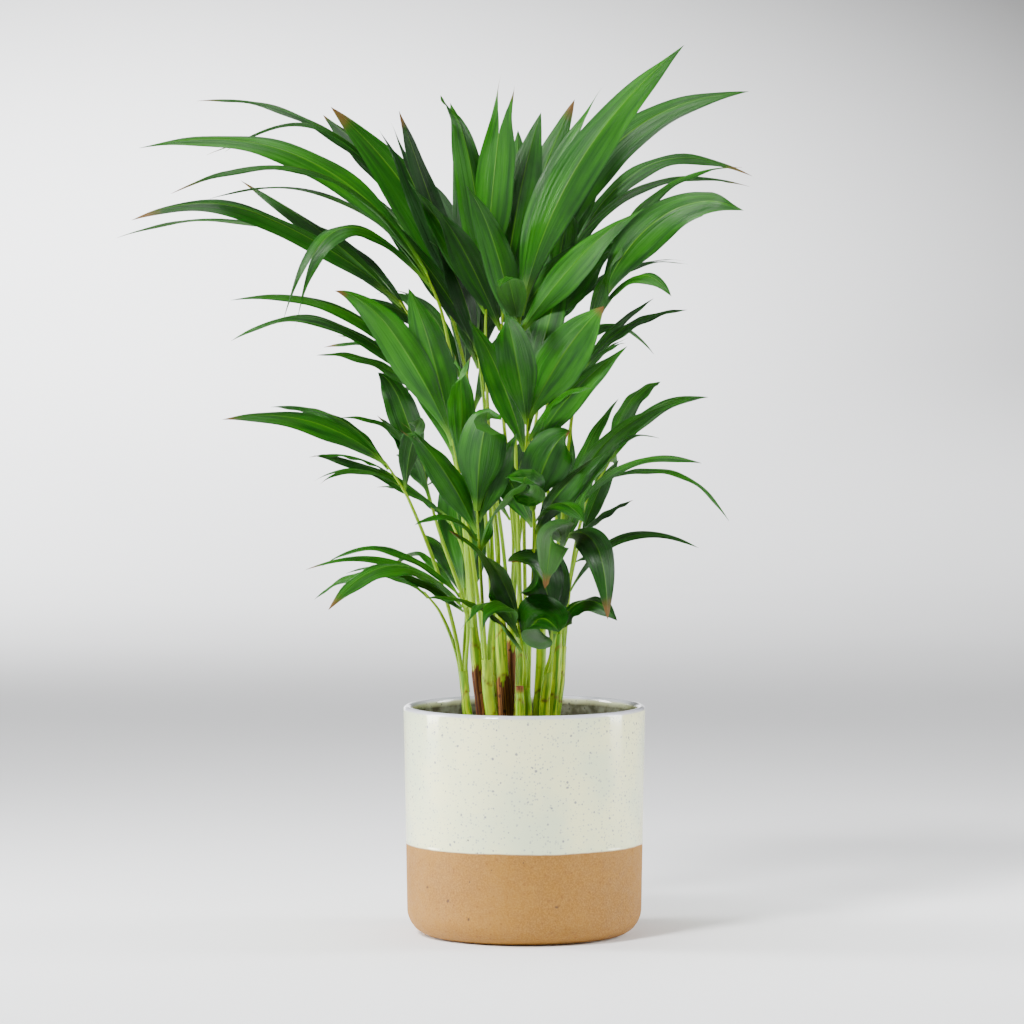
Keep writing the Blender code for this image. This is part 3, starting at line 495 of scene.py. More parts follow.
class BackdropFinish(Finish):
    """Pale grey studio paper with painted light and shade: lighter behind the middle of the plant, darker away from
    it on the wall, and a little darker towards the back of the floor.
    """

    name = "studio paper"
    # The middle of the painted light on the wall, and how its falloff is stretched.
    middle = Vector((-0.4, 4.4, 0.26))
    stretch = Vector((0.56, 0.0, 1.35))

    def build(self, effects: Effects) -> None:
        """Paints light and shade softly onto the paper by place.

        Args:
            effects: The shared node groups.
        """
        tree = self.tree
        here = tree.here()
        offset = tree.add("VectorMath", here, self.middle, operation="SUBTRACT")
        wide = tree.add("VectorMath", offset.outputs[0], self.stretch, operation="MULTIPLY")
        far = tree.add("VectorMath", wide.outputs[0], operation="LENGTH")
        cloud = tree.group(effects.mottle, Place=here, Scale=2.0)
        split = tree.add("SeparateXYZ", here)
        raised = tree.step(split.outputs[2], 0.05, 0.26)
        # Painted shade: the wall darkens away from its lit middle.
        painted_falloff = tree.math("MULTIPLY", tree.step(far.outputs["Value"], 0.2, 1.1), raised)
        # Painted shade: the floor darkens a little towards the back.
        low = tree.math("MULTIPLY", tree.step(split.outputs[1], 0.4, 2.2), tree.math("SUBTRACT", 1.0, raised))
        paper = tree.mix(painted_falloff, shade(252, 253, 255), shade(50, 49, 47))
        paper = tree.mix(tree.math("MULTIPLY", low, 0.1), paper, shade(160, 160, 163))
        self.colour(tree.mix(tree.step(cloud.outputs["Broad"], 0.3, 0.7, 0.0, 0.06), paper, shade(190, 190, 190)))
        self.roughness(tree.step(cloud.outputs["Fine"], 0.3, 0.7, 0.86, 0.94))


class Wardrobe:
    """Every finish, built once."""

    def __init__(self) -> None:
        """Builds the finishes."""
        effects = Effects()
        self.stoneware = StonewareFinish(effects)
        self.plastic = PlasticFinish(effects)
        self.soil = SoilFinish(effects)
        self.cane = CaneFinish(effects)
        self.leaf = LeafFinish(effects)
        self.backdrop = BackdropFinish(effects)


# The drawing of the palm

class Cane(NamedTuple):
    """A stem of wrapped leaf bases: where it leaves the soil and where its leaves part."""

    foot: Pair
    top: Triple
    girth: float = 1.0


class Blade(NamedTuple):
    """One leaflet: its place on the rachis, tip, width, arch and how far its face turns to the front."""

    at: float
    tip: Triple
    width: float
    arch: float = 0.12
    face: float = 0.0


class Frond(NamedTuple):
    """One leaf: its cane, the collar where its blades begin, its rachis end and its blades."""

    cane: str
    collar: Triple
    end: Triple
    blades: tuple[Blade, ...]

    @classmethod
    def of(cls, cane: str, collar: Triple, end: Triple,
           *rows: tuple[float, ...]) -> Frond:
        """Reads a leaf.

        Args:
            cane: The cane that it grows from.
            collar: Where its blades begin.
            end: Where its rachis ends.
            rows: Each blade's place, the three numbers of its tip, its width, arch and face.

        Returns:
            The leaf.
        """
        return cls(cane, collar, end, tuple(Blade(at, (x, y, z), *rest) for at, x, y, z, *rest in rows))


CANES = {
    "cane_01": Cane((-31, -12), (-37, -16, 160), 0.8), "cane_02": Cane((-33, 7), (-38, 9, 158), 0.8),
    "cane_03": Cane((-24, 19), (-29, 25, 172)), "cane_04": Cane((-23, -3), (-31, -5, 186), 1.1),
    "cane_05": Cane((-18, -19), (-23, -27, 168), 1.1), "cane_06": Cane((-14, 9), (-19, 12, 196)),
    "cane_07": Cane((-11, -6), (-15, -8, 202), 1.15), "cane_08": Cane((1, -21), (1, -29, 150)),
    "cane_09": Cane((-2, 6), (-3, 8, 205)), "cane_10": Cane((-1, -9), (-1, -13, 192), 1.1),
    "cane_11": Cane((11, -17), (14, -24, 160)), "cane_12": Cane((9, 8), (10, 12, 200)),
    "cane_13": Cane((15, -4), (20, -5, 182), 1.1), "cane_14": Cane((17, 13), (23, 19, 172)),
    "cane_15": Cane((-6, 22), (-8, 33, 184)),
}

CUT_STUB = Cane((-4, -32), (-3, -36, 157), 0.85)

FRONDS = {
    # Left, from the top down.
    "frond_01": Frond.of("cane_06", (-43, 22, 375), (-80, 34, 458),
        (1.0, -205, 62, 521, 14, 0.12, 0.2), (0.85, -186, 18, 503, 12, 0.2, 0.1),
        (0.65, -201, 92, 507, 12, 0.08, 0.1), (1.0, -128, 70, 510, 17, 0.06, 0.6), (0.0, -20, 80, 470, 20, 0.1, 0.3),
        (0.3, -72, 22, 458, 16, 0.08, 0.5)),
    "frond_02": Frond.of("cane_04", (-50, -26, 383), (-60, -34, 410),
        (1.0, -235, -40, 490, 20, 0.17, 0.8), (1.0, -229, -66, 465, 16, 0.22, 0.3),
        (0.8, -193, -20, 457, 13, 0.2, 0.1), (1.0, -142, -78, 419, 17, 0.5, 0.5)),
    "frond_03": Frond.of("cane_04", (-58, -4, 362), (-77, -8, 393),
        (1.0, -241, -24, 468, 19, 0.07, 0.5), (0.6, -254, 34, 437, 11, 0.15, 0.1),
        (0.9, -173, 38, 465, 19, 0.04, 0.6), (0.5, -150, 62, 448, 18, 0.08, 0.5),
        (0.3, -118, -44, 402, 14, 0.1, 0.5)),
    "frond_04": Frond.of("cane_05", (-38, -44, 278), (-44, -52, 309),
        (1.0, -114, -96, 420, 24, 0.04, 0.9), (1.0, -70, -74, 402, 25, 0.03, 0.9),
        (0.6, -92, -36, 398, 20, 0.05, 0.8), (0.4, -36, -104, 372, 18, 0.06, 0.9)),
    "frond_05": Frond.of("cane_03", (-49, 16, 313), (-62, 20, 338),
        (1.0, -182, 12, 394, 15, 0.17, 0.4), (0.9, -184, 52, 386, 14, 0.13, 0.3), (0.5, -118, 84, 372, 15, 0.1, 0.2),
        (0.4, -128, -14, 362, 12, 0.12, 0.4)),
    "frond_06": Frond.of("cane_01", (-71, -16, 270), (-85, -20, 293),
        (1.0, -185, -34, 321, 21, 0.12, 0.6), (0.95, -157, 6, 329, 16, 0.14, 0.5),
        (0.7, -131, -60, 300, 8, 0.08, 0.2), (0.4, -126, -74, 286, 7, 0.1, 0.2),
        (0.3, -62, -52, 334, 14, 0.06, 0.7)),
    "frond_07": Frond.of("cane_02", (-37, 26, 232), (-47, 32, 257),
        (1.0, -131, 22, 298, 12, 0.07, 0.3), (0.9, -88, 64, 300, 9, 0.1, 0.2)),
    "frond_08": Frond.of("cane_03", (-44, 36, 257), (-51, 42, 285),
        (1.0, -92, 54, 358, 21, 0.03, 0.7), (0.9, -93, 30, 324, 13, 0.06, 0.5), (0.6, -86, 66, 309, 15, 0.06, 0.5),
        (0.3, -114, -2, 323, 13, 0.2, 0.3)),
    "frond_09": Frond.of("cane_01", (-35, -24, 195), (-40, -28, 214),
        (1.0, -125, -14, 242, 14, 0.14, 0.3), (0.9, -99, 24, 247, 10, 0.12, 0.2),
        (0.9, -134, -40, 231, 14, 0.16, 0.4), (0.6, -135, -64, 211, 16, 0.24, 0.4),
        (0.4, -72, -52, 250, 12, 0.08, 0.5)),
    "frond_10": Frond.of("cane_02", (-52, 14, 198), (-62, 16, 211),
        (1.0, -131, 26, 207, 10, 0.2, 0.2), (0.8, -112, 52, 222, 9, 0.15, 0.2)),
    "frond_11": Frond.of("cane_03", (-34, 34, 196), (-38, 38, 212),
        (1.0, -46, 52, 290, 22, 0.03, 0.9), (0.6, -70, 84, 250, 14, 0.12, 0.3), (0.4, -26, 72, 272, 14, 0.06, 0.4)),
    # The middle, from the top down.
    "frond_12": Frond.of("cane_10", (-5, -34, 362), (-2, -42, 388),
        (1.0, 96, -78, 548, 27, 0.09, 0.9), (0.9, 51, -30, 523, 25, 0.06, 0.8), (0.6, -20, -104, 430, 18, 0.1, 0.6),
        (0.4, 40, -92, 474, 22, 0.05, 0.9), (0.2, -34, -70, 462, 20, 0.05, 0.8)),
    "frond_13": Frond.of("cane_09", (-15, -10, 362), (-13, -16, 387),
        (1.0, 10, -34, 510, 25, 0.03, 0.9), (0.9, 31, 4, 517, 22, 0.04, 0.8), (0.7, -4, 40, 500, 20, 0.06, 0.6),
        (0.5, -32, -30, 478, 20, 0.04, 0.8), (0.3, 28, -40, 462, 18, 0.05, 0.8)),
    "frond_14": Frond.of("cane_07", (-24, -14, 372), (-23, -20, 398),
        (1.0, -12, -54, 527, 25, 0.04, 0.9), (0.9, -50, -52, 534, 17, 0.05, 0.7), (0.8, -46, -12, 519, 22, 0.05, 0.6),
        (0.5, -56, -62, 474, 18, 0.05, 0.8)),
    "frond_15": Frond.of("cane_07", (-27, 2, 350), (-31, 3, 380),
        (1.0, -86, 8, 504, 17, 0.0, 0.8), (1.0, -77, -20, 511, 16, 0.0, 0.7), (0.6, -60, 44, 486, 18, 0.06, 0.5),
        (0.5, -102, -24, 458, 17, 0.05, 0.7), (0.3, -58, -40, 444, 16, 0.05, 0.7)),
    "frond_16": Frond.of("cane_06", (-26, 20, 338), (-30, 26, 365),
        (1.0, -120, 36, 513, 30, 0.08, 0.8), (0.9, -66, 104, 474, 20, 0.1, 0.4), (0.6, 8, 96, 452, 20, 0.1, 0.3),
        (0.5, -104, 60, 470, 18, 0.08, 0.5), (0.3, -40, 72, 434, 16, 0.08, 0.4)),
    "frond_17": Frond.of("cane_10", (0, -46, 288), (2, -54, 322),
        (1.0, 48, -72, 393, 31, 0.04, 0.9), (0.9, 30, -36, 424, 20, 0.04, 0.7), (1.0, -14, -88, 397, 24, 0.04, 0.9),
        (0.6, 40, -108, 344, 18, 0.12, 0.6), (0.4, -34, -44, 384, 20, 0.04, 0.8), (0.3, 62, -62, 366, 18, 0.06, 0.8)),
    "frond_18": Frond.of("cane_05", (-27, -56, 232), (-29, -64, 266),
        (1.0, -22, -104, 340, 27, 0.06, 0.9), (0.8, -6, -82, 312, 18, 0.04, 0.7),
        (0.5, -66, -108, 262, 16, 0.15, 0.5), (0.6, -50, -76, 332, 18, 0.05, 0.8),
        (0.3, 10, -112, 288, 16, 0.1, 0.6)),
    "frond_19": Frond.of("cane_08", (1, -60, 245), (1, -67, 270),
        (1.0, 27, -84, 323, 25, 0.06, 0.9), (1.0, -8, -118, 312, 23, 0.14, 0.8), (0.6, 36, -112, 262, 16, 0.2, 0.5),
        (0.5, -32, -66, 312, 16, 0.06, 0.7), (0.4, 52, -74, 304, 16, 0.08, 0.6)),
    "frond_20": Frond.of("cane_08", (0, -40, 172), (-4, -50, 197),
        (1.0, -50, -62, 262, 17, 0.12, 0.6), (0.65, -36, -100, 199, 14, 0.3, 0.4),
        (0.3, -60, -76, 216, 12, 0.14, 0.4), (0.45, 10, -96, 203, 19, 0.2, 0.9)),
    # Right, from the top down.
    "frond_21": Frond.of("cane_12", (17, 2, 378), (21, 4, 417),
        (1.0, 138, -6, 522, 26, 0.19, 0.7), (0.9, 58, 48, 496, 20, 0.08, 0.5), (0.8, 116, 40, 500, 12, 0.2, 0.2),
        (0.5, 20, -42, 472, 18, 0.05, 0.7), (0.4, 72, 22, 444, 16, 0.08, 0.5)),
    "frond_22": Frond.of("cane_14", (25, 32, 356), (31, 38, 393),
        (1.0, 143, 56, 492, 15, 0.2, 0.4), (0.8, 90, 100, 440, 13, 0.15, 0.2), (0.6, 24, 112, 440, 16, 0.1, 0.3)),
    "frond_23": Frond.of("cane_13", (36, -22, 362), (46, -28, 391),
        (1.0, 138, -42, 461, 30, 0.17, 0.8), (0.9, 141, -6, 484, 15, 0.2, 0.4), (0.5, 88, -96, 410, 14, 0.15, 0.4),
        (0.4, 60, -72, 434, 18, 0.06, 0.7)),
    "frond_24": Frond.of("cane_12", (4, 24, 350), (13, 30, 378),
        (1.0, 54, 44, 431, 23, 0.03, 0.7), (0.9, 99, 72, 417, 11, 0.12, 0.3), (0.6, 48, 100, 404, 14, 0.08, 0.4),
        (0.4, -8, 62, 412, 16, 0.05, 0.4)),
    "frond_25": Frond.of("cane_13", (18, 8, 313), (36, 12, 350),
        (1.0, 101, 14, 388, 12, 0.12, 0.4), (0.9, 81, 52, 394, 10, 0.08, 0.3), (0.6, 66, -24, 374, 9, 0.08, 0.3),
        (0.4, 48, 42, 382, 11, 0.06, 0.4)),
    "frond_26": Frond.of("cane_13", (23, -8, 232), (24, -10, 258),
        (1.0, 105, -20, 334, 17, 0.15, 0.6), (0.9, 79, -52, 326, 14, 0.2, 0.4), (1.0, 84, 26, 320, 15, 0.14, 0.5),
        (0.7, 59, 48, 332, 12, 0.1, 0.4), (0.4, 42, -62, 304, 14, 0.08, 0.6), (0.5, 12, 22, 322, 14, 0.05, 0.5)),
    "frond_27": Frond.of("cane_11", (21, -32, 210), (24, -38, 250),
        (1.0, 50, -92, 212, 21, 0.3, 0.8), (0.95, 12, -104, 222, 26, 0.3, -0.8),
        (0.9, 42, -48, 268, 23, 0.05, 0.8)),
    "frond_28": Frond.of("cane_14", (26, 26, 202), (36, 32, 248),
        (1.0, 68, 34, 268, 9, 0.06, 0.3), (0.9, 62, 60, 297, 12, 0.06, 0.4), (0.6, 52, 40, 244, 8, 0.1, 0.2),
        (0.2, 107, 46, 239, 11, 0.25, 0.3)),
    "frond_29": Frond.of("cane_11", (16, -42, 177), (17, -50, 196),
        (1.0, -8, -96, 238, 24, 0.2, 0.9), (0.7, 48, -82, 219, 18, 0.2, 0.6), (0.3, 24, -62, 254, 14, 0.06, 0.7)),
    # The back.
    "frond_30": Frond.of("cane_15", (-24, 56, 300), (-38, 78, 338),
        (1.0, -92, 150, 400, 18, 0.15), (1.0, -46, 170, 416, 18, 0.15), (0.7, -128, 118, 362, 15, 0.15),
        (0.6, 4, 168, 370, 15, 0.12), (0.3, -84, 150, 330, 14, 0.15)),
    "frond_31": Frond.of("cane_15", (8, 54, 322), (14, 86, 364),
        (1.0, 26, 176, 452, 20, 0.14), (1.0, 66, 150, 430, 18, 0.14), (0.7, -24, 150, 424, 17, 0.12),
        (0.5, 84, 158, 372, 14, 0.14)),
    "frond_32": Frond.of("cane_14", (38, 42, 262), (54, 62, 290),
        (1.0, 118, 118, 330, 15, 0.15), (0.9, 88, 146, 338, 14, 0.15), (0.6, 128, 84, 300, 12, 0.15),
        (0.4, 72, 140, 290, 12, 0.18)),
    "frond_33": Frond.of("cane_15", (-7, 54, 240), (-9, 76, 262),
        (1.0, -24, 160, 296, 16, 0.2), (1.0, 18, 152, 300, 15, 0.2), (0.6, -54, 136, 268, 13, 0.2)),
}

SPEARS = {
    "spear_01": Frond.of("cane_05", (-16, -46, 240), (-27, -54, 318)),
}


class Habit(Enum):
    """How a leaflet ends."""

    PLAIN = "plain"
    UPRIGHT = "upright"
    DROOPING = "drooping"
    CURLED = "curled"
    SPLIT = "split"
    FRAYED = "frayed"


# Leaflets with a habit of their own, by frond and by place in its list. The others draw one by lot.
HABITS = {(f"frond_{number:02d}", place): habit for habit, drawn in {
    Habit.DROOPING: ((3, 0), (4, 0), (12, 2), (22, 0), (27, 0)),
    Habit.UPRIGHT: ((12, 0),),
    Habit.SPLIT: ((12, 1), (14, 0), (15, 0)),
    Habit.PLAIN: ((2, 0), (6, 0), (13, 0), (16, 0), (17, 0), (21, 0)),
    Habit.CURLED: ((14, 1), (23, 0)),
    Habit.FRAYED: ((21, 2), (23, 1), (27, 1)),
}.items() for number, place in drawn}


# Sizes

@dataclass(frozen=True)
class PotSizes:
    """The stoneware pot."""

    rim_radius: float = 75 * MM
    height: float = 142 * MM
    taper: float = 2 * MM
    wall: float = 5 * MM
    floor: float = 8 * MM
    corner: float = 16 * MM
    inner_corner: float = 12 * MM
    hem: float = 57 * MM
    glaze: float = 0.25 * MM
    facets: int = 192


@dataclass(frozen=True)
class NurserySizes:
    """The plastic pot that the palm was grown in."""

    radius: float = 61 * MM
    top: float = 118 * MM
    draft: float = 11 * MM
    wall: float = 1.2 * MM
    lip: float = 3 * MM
    lip_height: float = 6 * MM
    holes: int = 6
    hole_radius: float = 4.5 * MM
    hole_ring: float = 36 * MM
    ribs: int = 24
    facets: int = 144


@dataclass(frozen=True)
class PalmSizes:
    """The palm's stems and leaves."""

    soil: float = 109 * MM
    crown: float = 2 * MM
    depth: float = 28 * MM
    air: float = 0.3 * MM
    cane_air: float = 0.8 * MM
    cane_radius: float = 3.3 * MM
    swell: float = 1.12
    petiole_radius: float = 1.35 * MM
    end_radius: float = 0.6 * MM
    blade_air: float = 0.5 * MM
    blade_crown: float = 0.3 * MM
    blade_keel: float = 0.7 * MM
    blade_pitch: float = 4.4 * MM
    blade_thickness: float = 0.4 * MM
    neck: float = 0.35
    cane_sides: int = 8
    stalk_sides: int = 4
    petiole_steps: int = 6
    stations: tuple[float, ...] = (0.12, 0.32, 0.57, 0.81, 1.0)
    turns: tuple[float, ...] = (3, 6, 9, 13, 18, 24)
    shares: tuple[float, ...] = (1.0, 0.85, 0.7, 0.5)
    shifts: tuple[float, ...] = (1.5, 3, 4.5, 6, 9, 12)
    ways: tuple[float, ...] = (0, 90, 45, 135)


POT = PotSizes()
NURSERY = NurserySizes()
PALM = PalmSizes()


# Curves and coarse solids

def placed(x: float, y: float, z: float) -> Vector:
    """Places a point of the drawing: millimetres to the right, to the back and up, with DATUM at the soil."""
    return Vector((x * MM, y * MM, PALM.soil + (z - DATUM) * MM))


def hermite(start: Vector, stop: Vector, leaving: Vector, arriving: Vector, share: float) -> Vector:
    """Reads a cubic with given end tangents.

    Args:
        start: Its first point.
        stop: Its last point.
        leaving: Its tangent at the start.
        arriving: Its tangent at the end.
        share: Where it is read, 0 to 1.

    Returns:
        The point.
    """
    s = share
    return ((2 * s**3 - 3 * s**2 + 1) * start + (s**3 - 2 * s**2 + s) * leaving
            + (3 * s**2 - 2 * s**3) * stop + (s**3 - s**2) * arriving)


def centre_of(points: Sequence[Vector]) -> Vector:
    """The mean of some points."""
    return sum(points, Vector()) / len(points)


def turned_about(vector: Vector, axis: Vector, degrees: float) -> Vector:
    """The vector turned about an axis."""
    return Matrix.Rotation(math.radians(degrees), 3, axis) @ vector


def smooth(value: float, low: float, high: float) -> float:
    """How far a value has come from low to high, eased at both ends."""
    share = min(max((value - low) / (high - low), 0.0), 1.0)
    return share * share * (3 - 2 * share)


def sides_of(points: Sequence[Vector], first_side: Vector) -> list[tuple[Vector, Vector]]:
    """Carries a sideways vector along a line without twist.

    Args:
        points: The line.
        first_side: The vector at its start.

    Returns:
        The line's direction and the sideways vector at each point.
    """
    sides = []
    side = first_side
    for k in range(len(points)):
        along = (points[min(k + 1, len(points) - 1)] - points[max(k - 1, 0)]).normalized()
        side = (side - along * side.dot(along)).normalized()
        sides.append((along, side))
    return sides


def lofted(rings: Sequence[Sequence[Vector]]) -> Solid:
    """Closes a solid through rings of equally many points.

    Args:
        rings: The rings. The last may be a single point.

    Returns:
        Its points and faces.
    """
    size = len(rings[0])
    points = [point for ring in rings for point in ring]
    faces = [tuple(range(size))]
    for low in range(0, (len(rings) - 1) * size, size):
        high = min(low + size, len(points) - 1)
        single = high == len(points) - 1
        for k in range(size):
            after = (k + 1) % size
            faces.append((low + k, low + after, high) if single
                         else (low + k, low + after, high + after, high + k))
    if len(rings[-1]) > 1:
        faces.append(tuple(range(len(points) - size, len(points))))
    return points, faces


def turns_of(count: int) -> list[float]:
    """A full turn's angles, evenly spaced."""
    return [math.tau * k / count for k in range(count)]


def rings_of(line: Sequence[Vector], radii: Sequence[Sequence[float]]) -> list[list[Vector]]:
    """Lays rings of points round a line.

    Args:
        line: The line.
        radii: For each of its points, the radius at each turn.

    Returns:
        The rings.
    """
    rings = []
    for point, reach, (along, side) in zip(line, radii, sides_of(line, Vector((1, 0.2, 0)))):
        across = along.cross(side)
        rings.append([point + radius * (math.cos(a) * side + math.sin(a) * across)
                      for radius, a in zip(reach, turns_of(len(reach)))])
    return rings


def tube(points: Sequence[Vector], radii: Sequence[float], facets: int) -> Solid:
    """Closes a tube round a line.

    Args:
        points: The line.
        radii: Its radius at each point.
        facets: Points round each ring.

    Returns:
        Its points and faces.
    """
    return lofted(rings_of(points, [[radius] * facets for radius in radii]))


def grown_from(solid: Solid, face: tuple[int, ...], rings: Sequence[Sequence[Vector]]) -> Solid:
    """Grows a branch from one of a solid's faces.

    Args:
        solid: The solid, which is changed.
        face: The face.
        rings: The branch's rings.

    Returns:
        The solid with its branch.
    """
    points, faces = solid
    corners = [points[k] for k in face]
    middle = centre_of(corners)
    first = centre_of(rings[0])
    size = len(corners)

    def twist(turn: int) -> float:
        """How far the corners lie from the first ring's points, if that ring is turned by this many."""
        return sum(((corners[k] - middle).normalized() - (rings[0][(k + turn) % size] - first).normalized()).length
                   for k in range(size))

    turn = min(range(size), key=twist)
    faces.remove(face)
    low = list(face)
    for ring in rings:
        if len(ring) == 1:
            points.append(ring[0])
            faces += [(low[k], low[(k + 1) % size], len(points) - 1) for k in range(size)]
            continue
        high = list(range(len(points), len(points) + size))
        points += [ring[(k + turn) % size] for k in range(size)]
        for k in range(size):
            after = (k + 1) % size
            if (k + turn) % 2 == 0:
                faces += [(low[k], low[after], high[after]), (low[k], high[after], high[k])]
            else:
                faces += [(low[k], low[after], high[k]), (low[after], high[after], high[k])]
        low = high
    return points, faces


def cuts_itself(solid: Solid, first: int) -> bool:
    """Tests a solid's new faces.

    Args:
        solid: The solid.
        first: The number of its first new face.

    Returns:
        True if one of them meets a face that it shares no corner with.
    """
    points, faces = solid
    tree = BVHTree.FromPolygons(points, faces)
    return any(max(one, two) >= first and not set(faces[one]) & set(faces[two])
               for one, two in tree.overlap(tree))


# Where everything grows

def cane_line(cane: Cane) -> list[Vector]:
    """Finds a cane's middle line.

    Args:
        cane: The cane.

    Returns:
        Its points, from its foot in the soil to its top.
    """
    foot = placed(*cane.foot, DATUM)
    top = placed(*cane.top)
    below = foot - (top - foot).normalized() * PALM.depth
    return [below, foot, foot.lerp(top, 0.5), top]


def cane_solid(cane: Cane, grow: float = 0.0) -> Solid:
    """Builds a coarse cane.

    Args:
        cane: The cane.
        grow: How much wider it is made, in metres.

    Returns:
        The solid, a little swollen at the soil.
    """
    radius = PALM.cane_radius * cane.girth + grow
    swollen = radius * PALM.swell
    return tube(cane_line(cane), [swollen, swollen, radius, radius], PALM.cane_sides)


def starts_of(fronds: dict[str, Frond], canes: dict[str, Cane]) -> dict[str, tuple[Vector, Vector, int]]:
    """Finds where each stalk stands on its cane's top, in the order of the ways they lean.

    Args:
        fronds: The fronds by name.
        canes: The canes by name.

    Returns:
        For each frond its start, its cane's direction and how many share the cane.
    """
    starts = {}
    for name, cane in canes.items():
        top = placed(*cane.top)
        axis = (top - placed(*cane.foot, DATUM)).normalized()
        mine = [key for key, frond in fronds.items() if frond.cane == name]
        lean = {key: math.atan2(fronds[key].collar[1] - cane.top[1], fronds[key].collar[0] - cane.top[0])
                for key in mine}
        mine.sort(key=lean.get)

        def agreement(first: float) -> float:
            """How well the places suit the ways the stalks lean, if the first is at this turn."""
            return sum(math.cos(first + math.tau * k / len(mine) - lean[key]) for k, key in enumerate(mine))

        first = max((math.radians(10 * step) for step in range(36)), key=agreement)
        for k, key in enumerate(mine):
            turn = first + math.tau * k / len(mine)
            apart = 0 if len(mine) == 1 else (PALM.petiole_radius + PALM.air / 2) / math.sin(math.pi / len(mine))
            aside = Vector((math.cos(turn), math.sin(turn), 0)) * apart
            aside -= axis * aside.dot(axis)
            starts[key] = (top + axis * PALM.air + aside, axis, len(mine))
    return starts


class Stalk:
    """A petiole, from its cane to the collar, and the rachis from there to the frond's end."""

    def __init__(self, frond: Frond, start: Vector, axis: Vector, shift: Vector) -> None:
        """Lays the stalk.

        Args:
            frond: Its frond.
            start: Where it leaves its cane.
            axis: The cane's direction.
            shift: How far its collar and end move aside.
        """
        self.start = start
        self.axis = axis
        self.collar = placed(*frond.collar) + shift
        self.end = placed(*frond.end) + shift
        self.rise = (self.collar - start).length
        self.reach = (self.end - self.collar).length
        self.bend = ((self.collar - start).normalized() + (self.end - self.collar).normalized()).normalized()

    def petiole(self, share: float) -> Vector:
        """A point of the petiole."""
        return hermite(self.start, self.collar, self.axis * self.rise, self.bend * self.rise, share)

    def rachis(self, distance: float) -> Vector:
        """A point of the rachis, this far from the collar."""
        return hermite(self.collar, self.end, self.bend * self.reach, self.end - self.collar, distance / self.reach)

    def roots(self, blades: Sequence[Blade]) -> tuple[dict[Blade, float], float]:
        """Finds how far along the rachis each blade is rooted. The furthest takes the end.

        Args:
            blades: The frond's blades.

        Returns:
            The places by blade, and a root's length.
        """
        pitch = min(PALM.blade_pitch, self.reach / (len(blades) + 1))
        places = {}
        limit = self.reach + pitch
        for left, blade in zip(range(len(blades), 0, -1), sorted(blades, key=lambda b: -b.at)):
            wanted = blade.at * self.reach if places else limit
            places[blade] = max(min(wanted, limit), pitch * (left - 0.5))
            limit = (places[blade] if len(places) > 1 else self.reach) - pitch * 0.9
        return places, pitch * 0.6

    def solid(self, blades: Sequence[Blade], grow: float = 0.0) -> Solid:
        """Builds the coarse stalk, with a ring before and after each blade's root.

        Args:
            blades: The frond's blades.
            grow: How much thicker than it is.

        Returns:
            Its points and faces.
        """
        places, length = self.roots(blades)
        inner = [place for place in places.values() if place < self.reach]
        distances = sorted(place + way * length / 2 for place in inner for way in (-1, 1))
        line = [self.petiole(k / PALM.petiole_steps) for k in range(PALM.petiole_steps)]
        line += [self.rachis(distance) for distance in (*distances, self.reach)]
        last = len(line) - 1
        radii = [PALM.petiole_radius + (PALM.end_radius - PALM.petiole_radius) * (k / last) ** 2 + grow
                 for k in range(last + 1)]
        return tube(line, radii, PALM.stalk_sides)


def blade_width(share: float) -> float:
    """Finds a blade's width.

    Args:
        share: The share of its length, 0 to 1.

    Returns:
        Its width there, as a share of its greatest.
    """
    if share < 0.36:
        return 0.13 + 0.87 * math.sin(math.pi * share / 0.72) ** 2
    return max(math.cos(math.pi / 2 * (share - 0.36) / 0.64), 0.0) ** 0.8


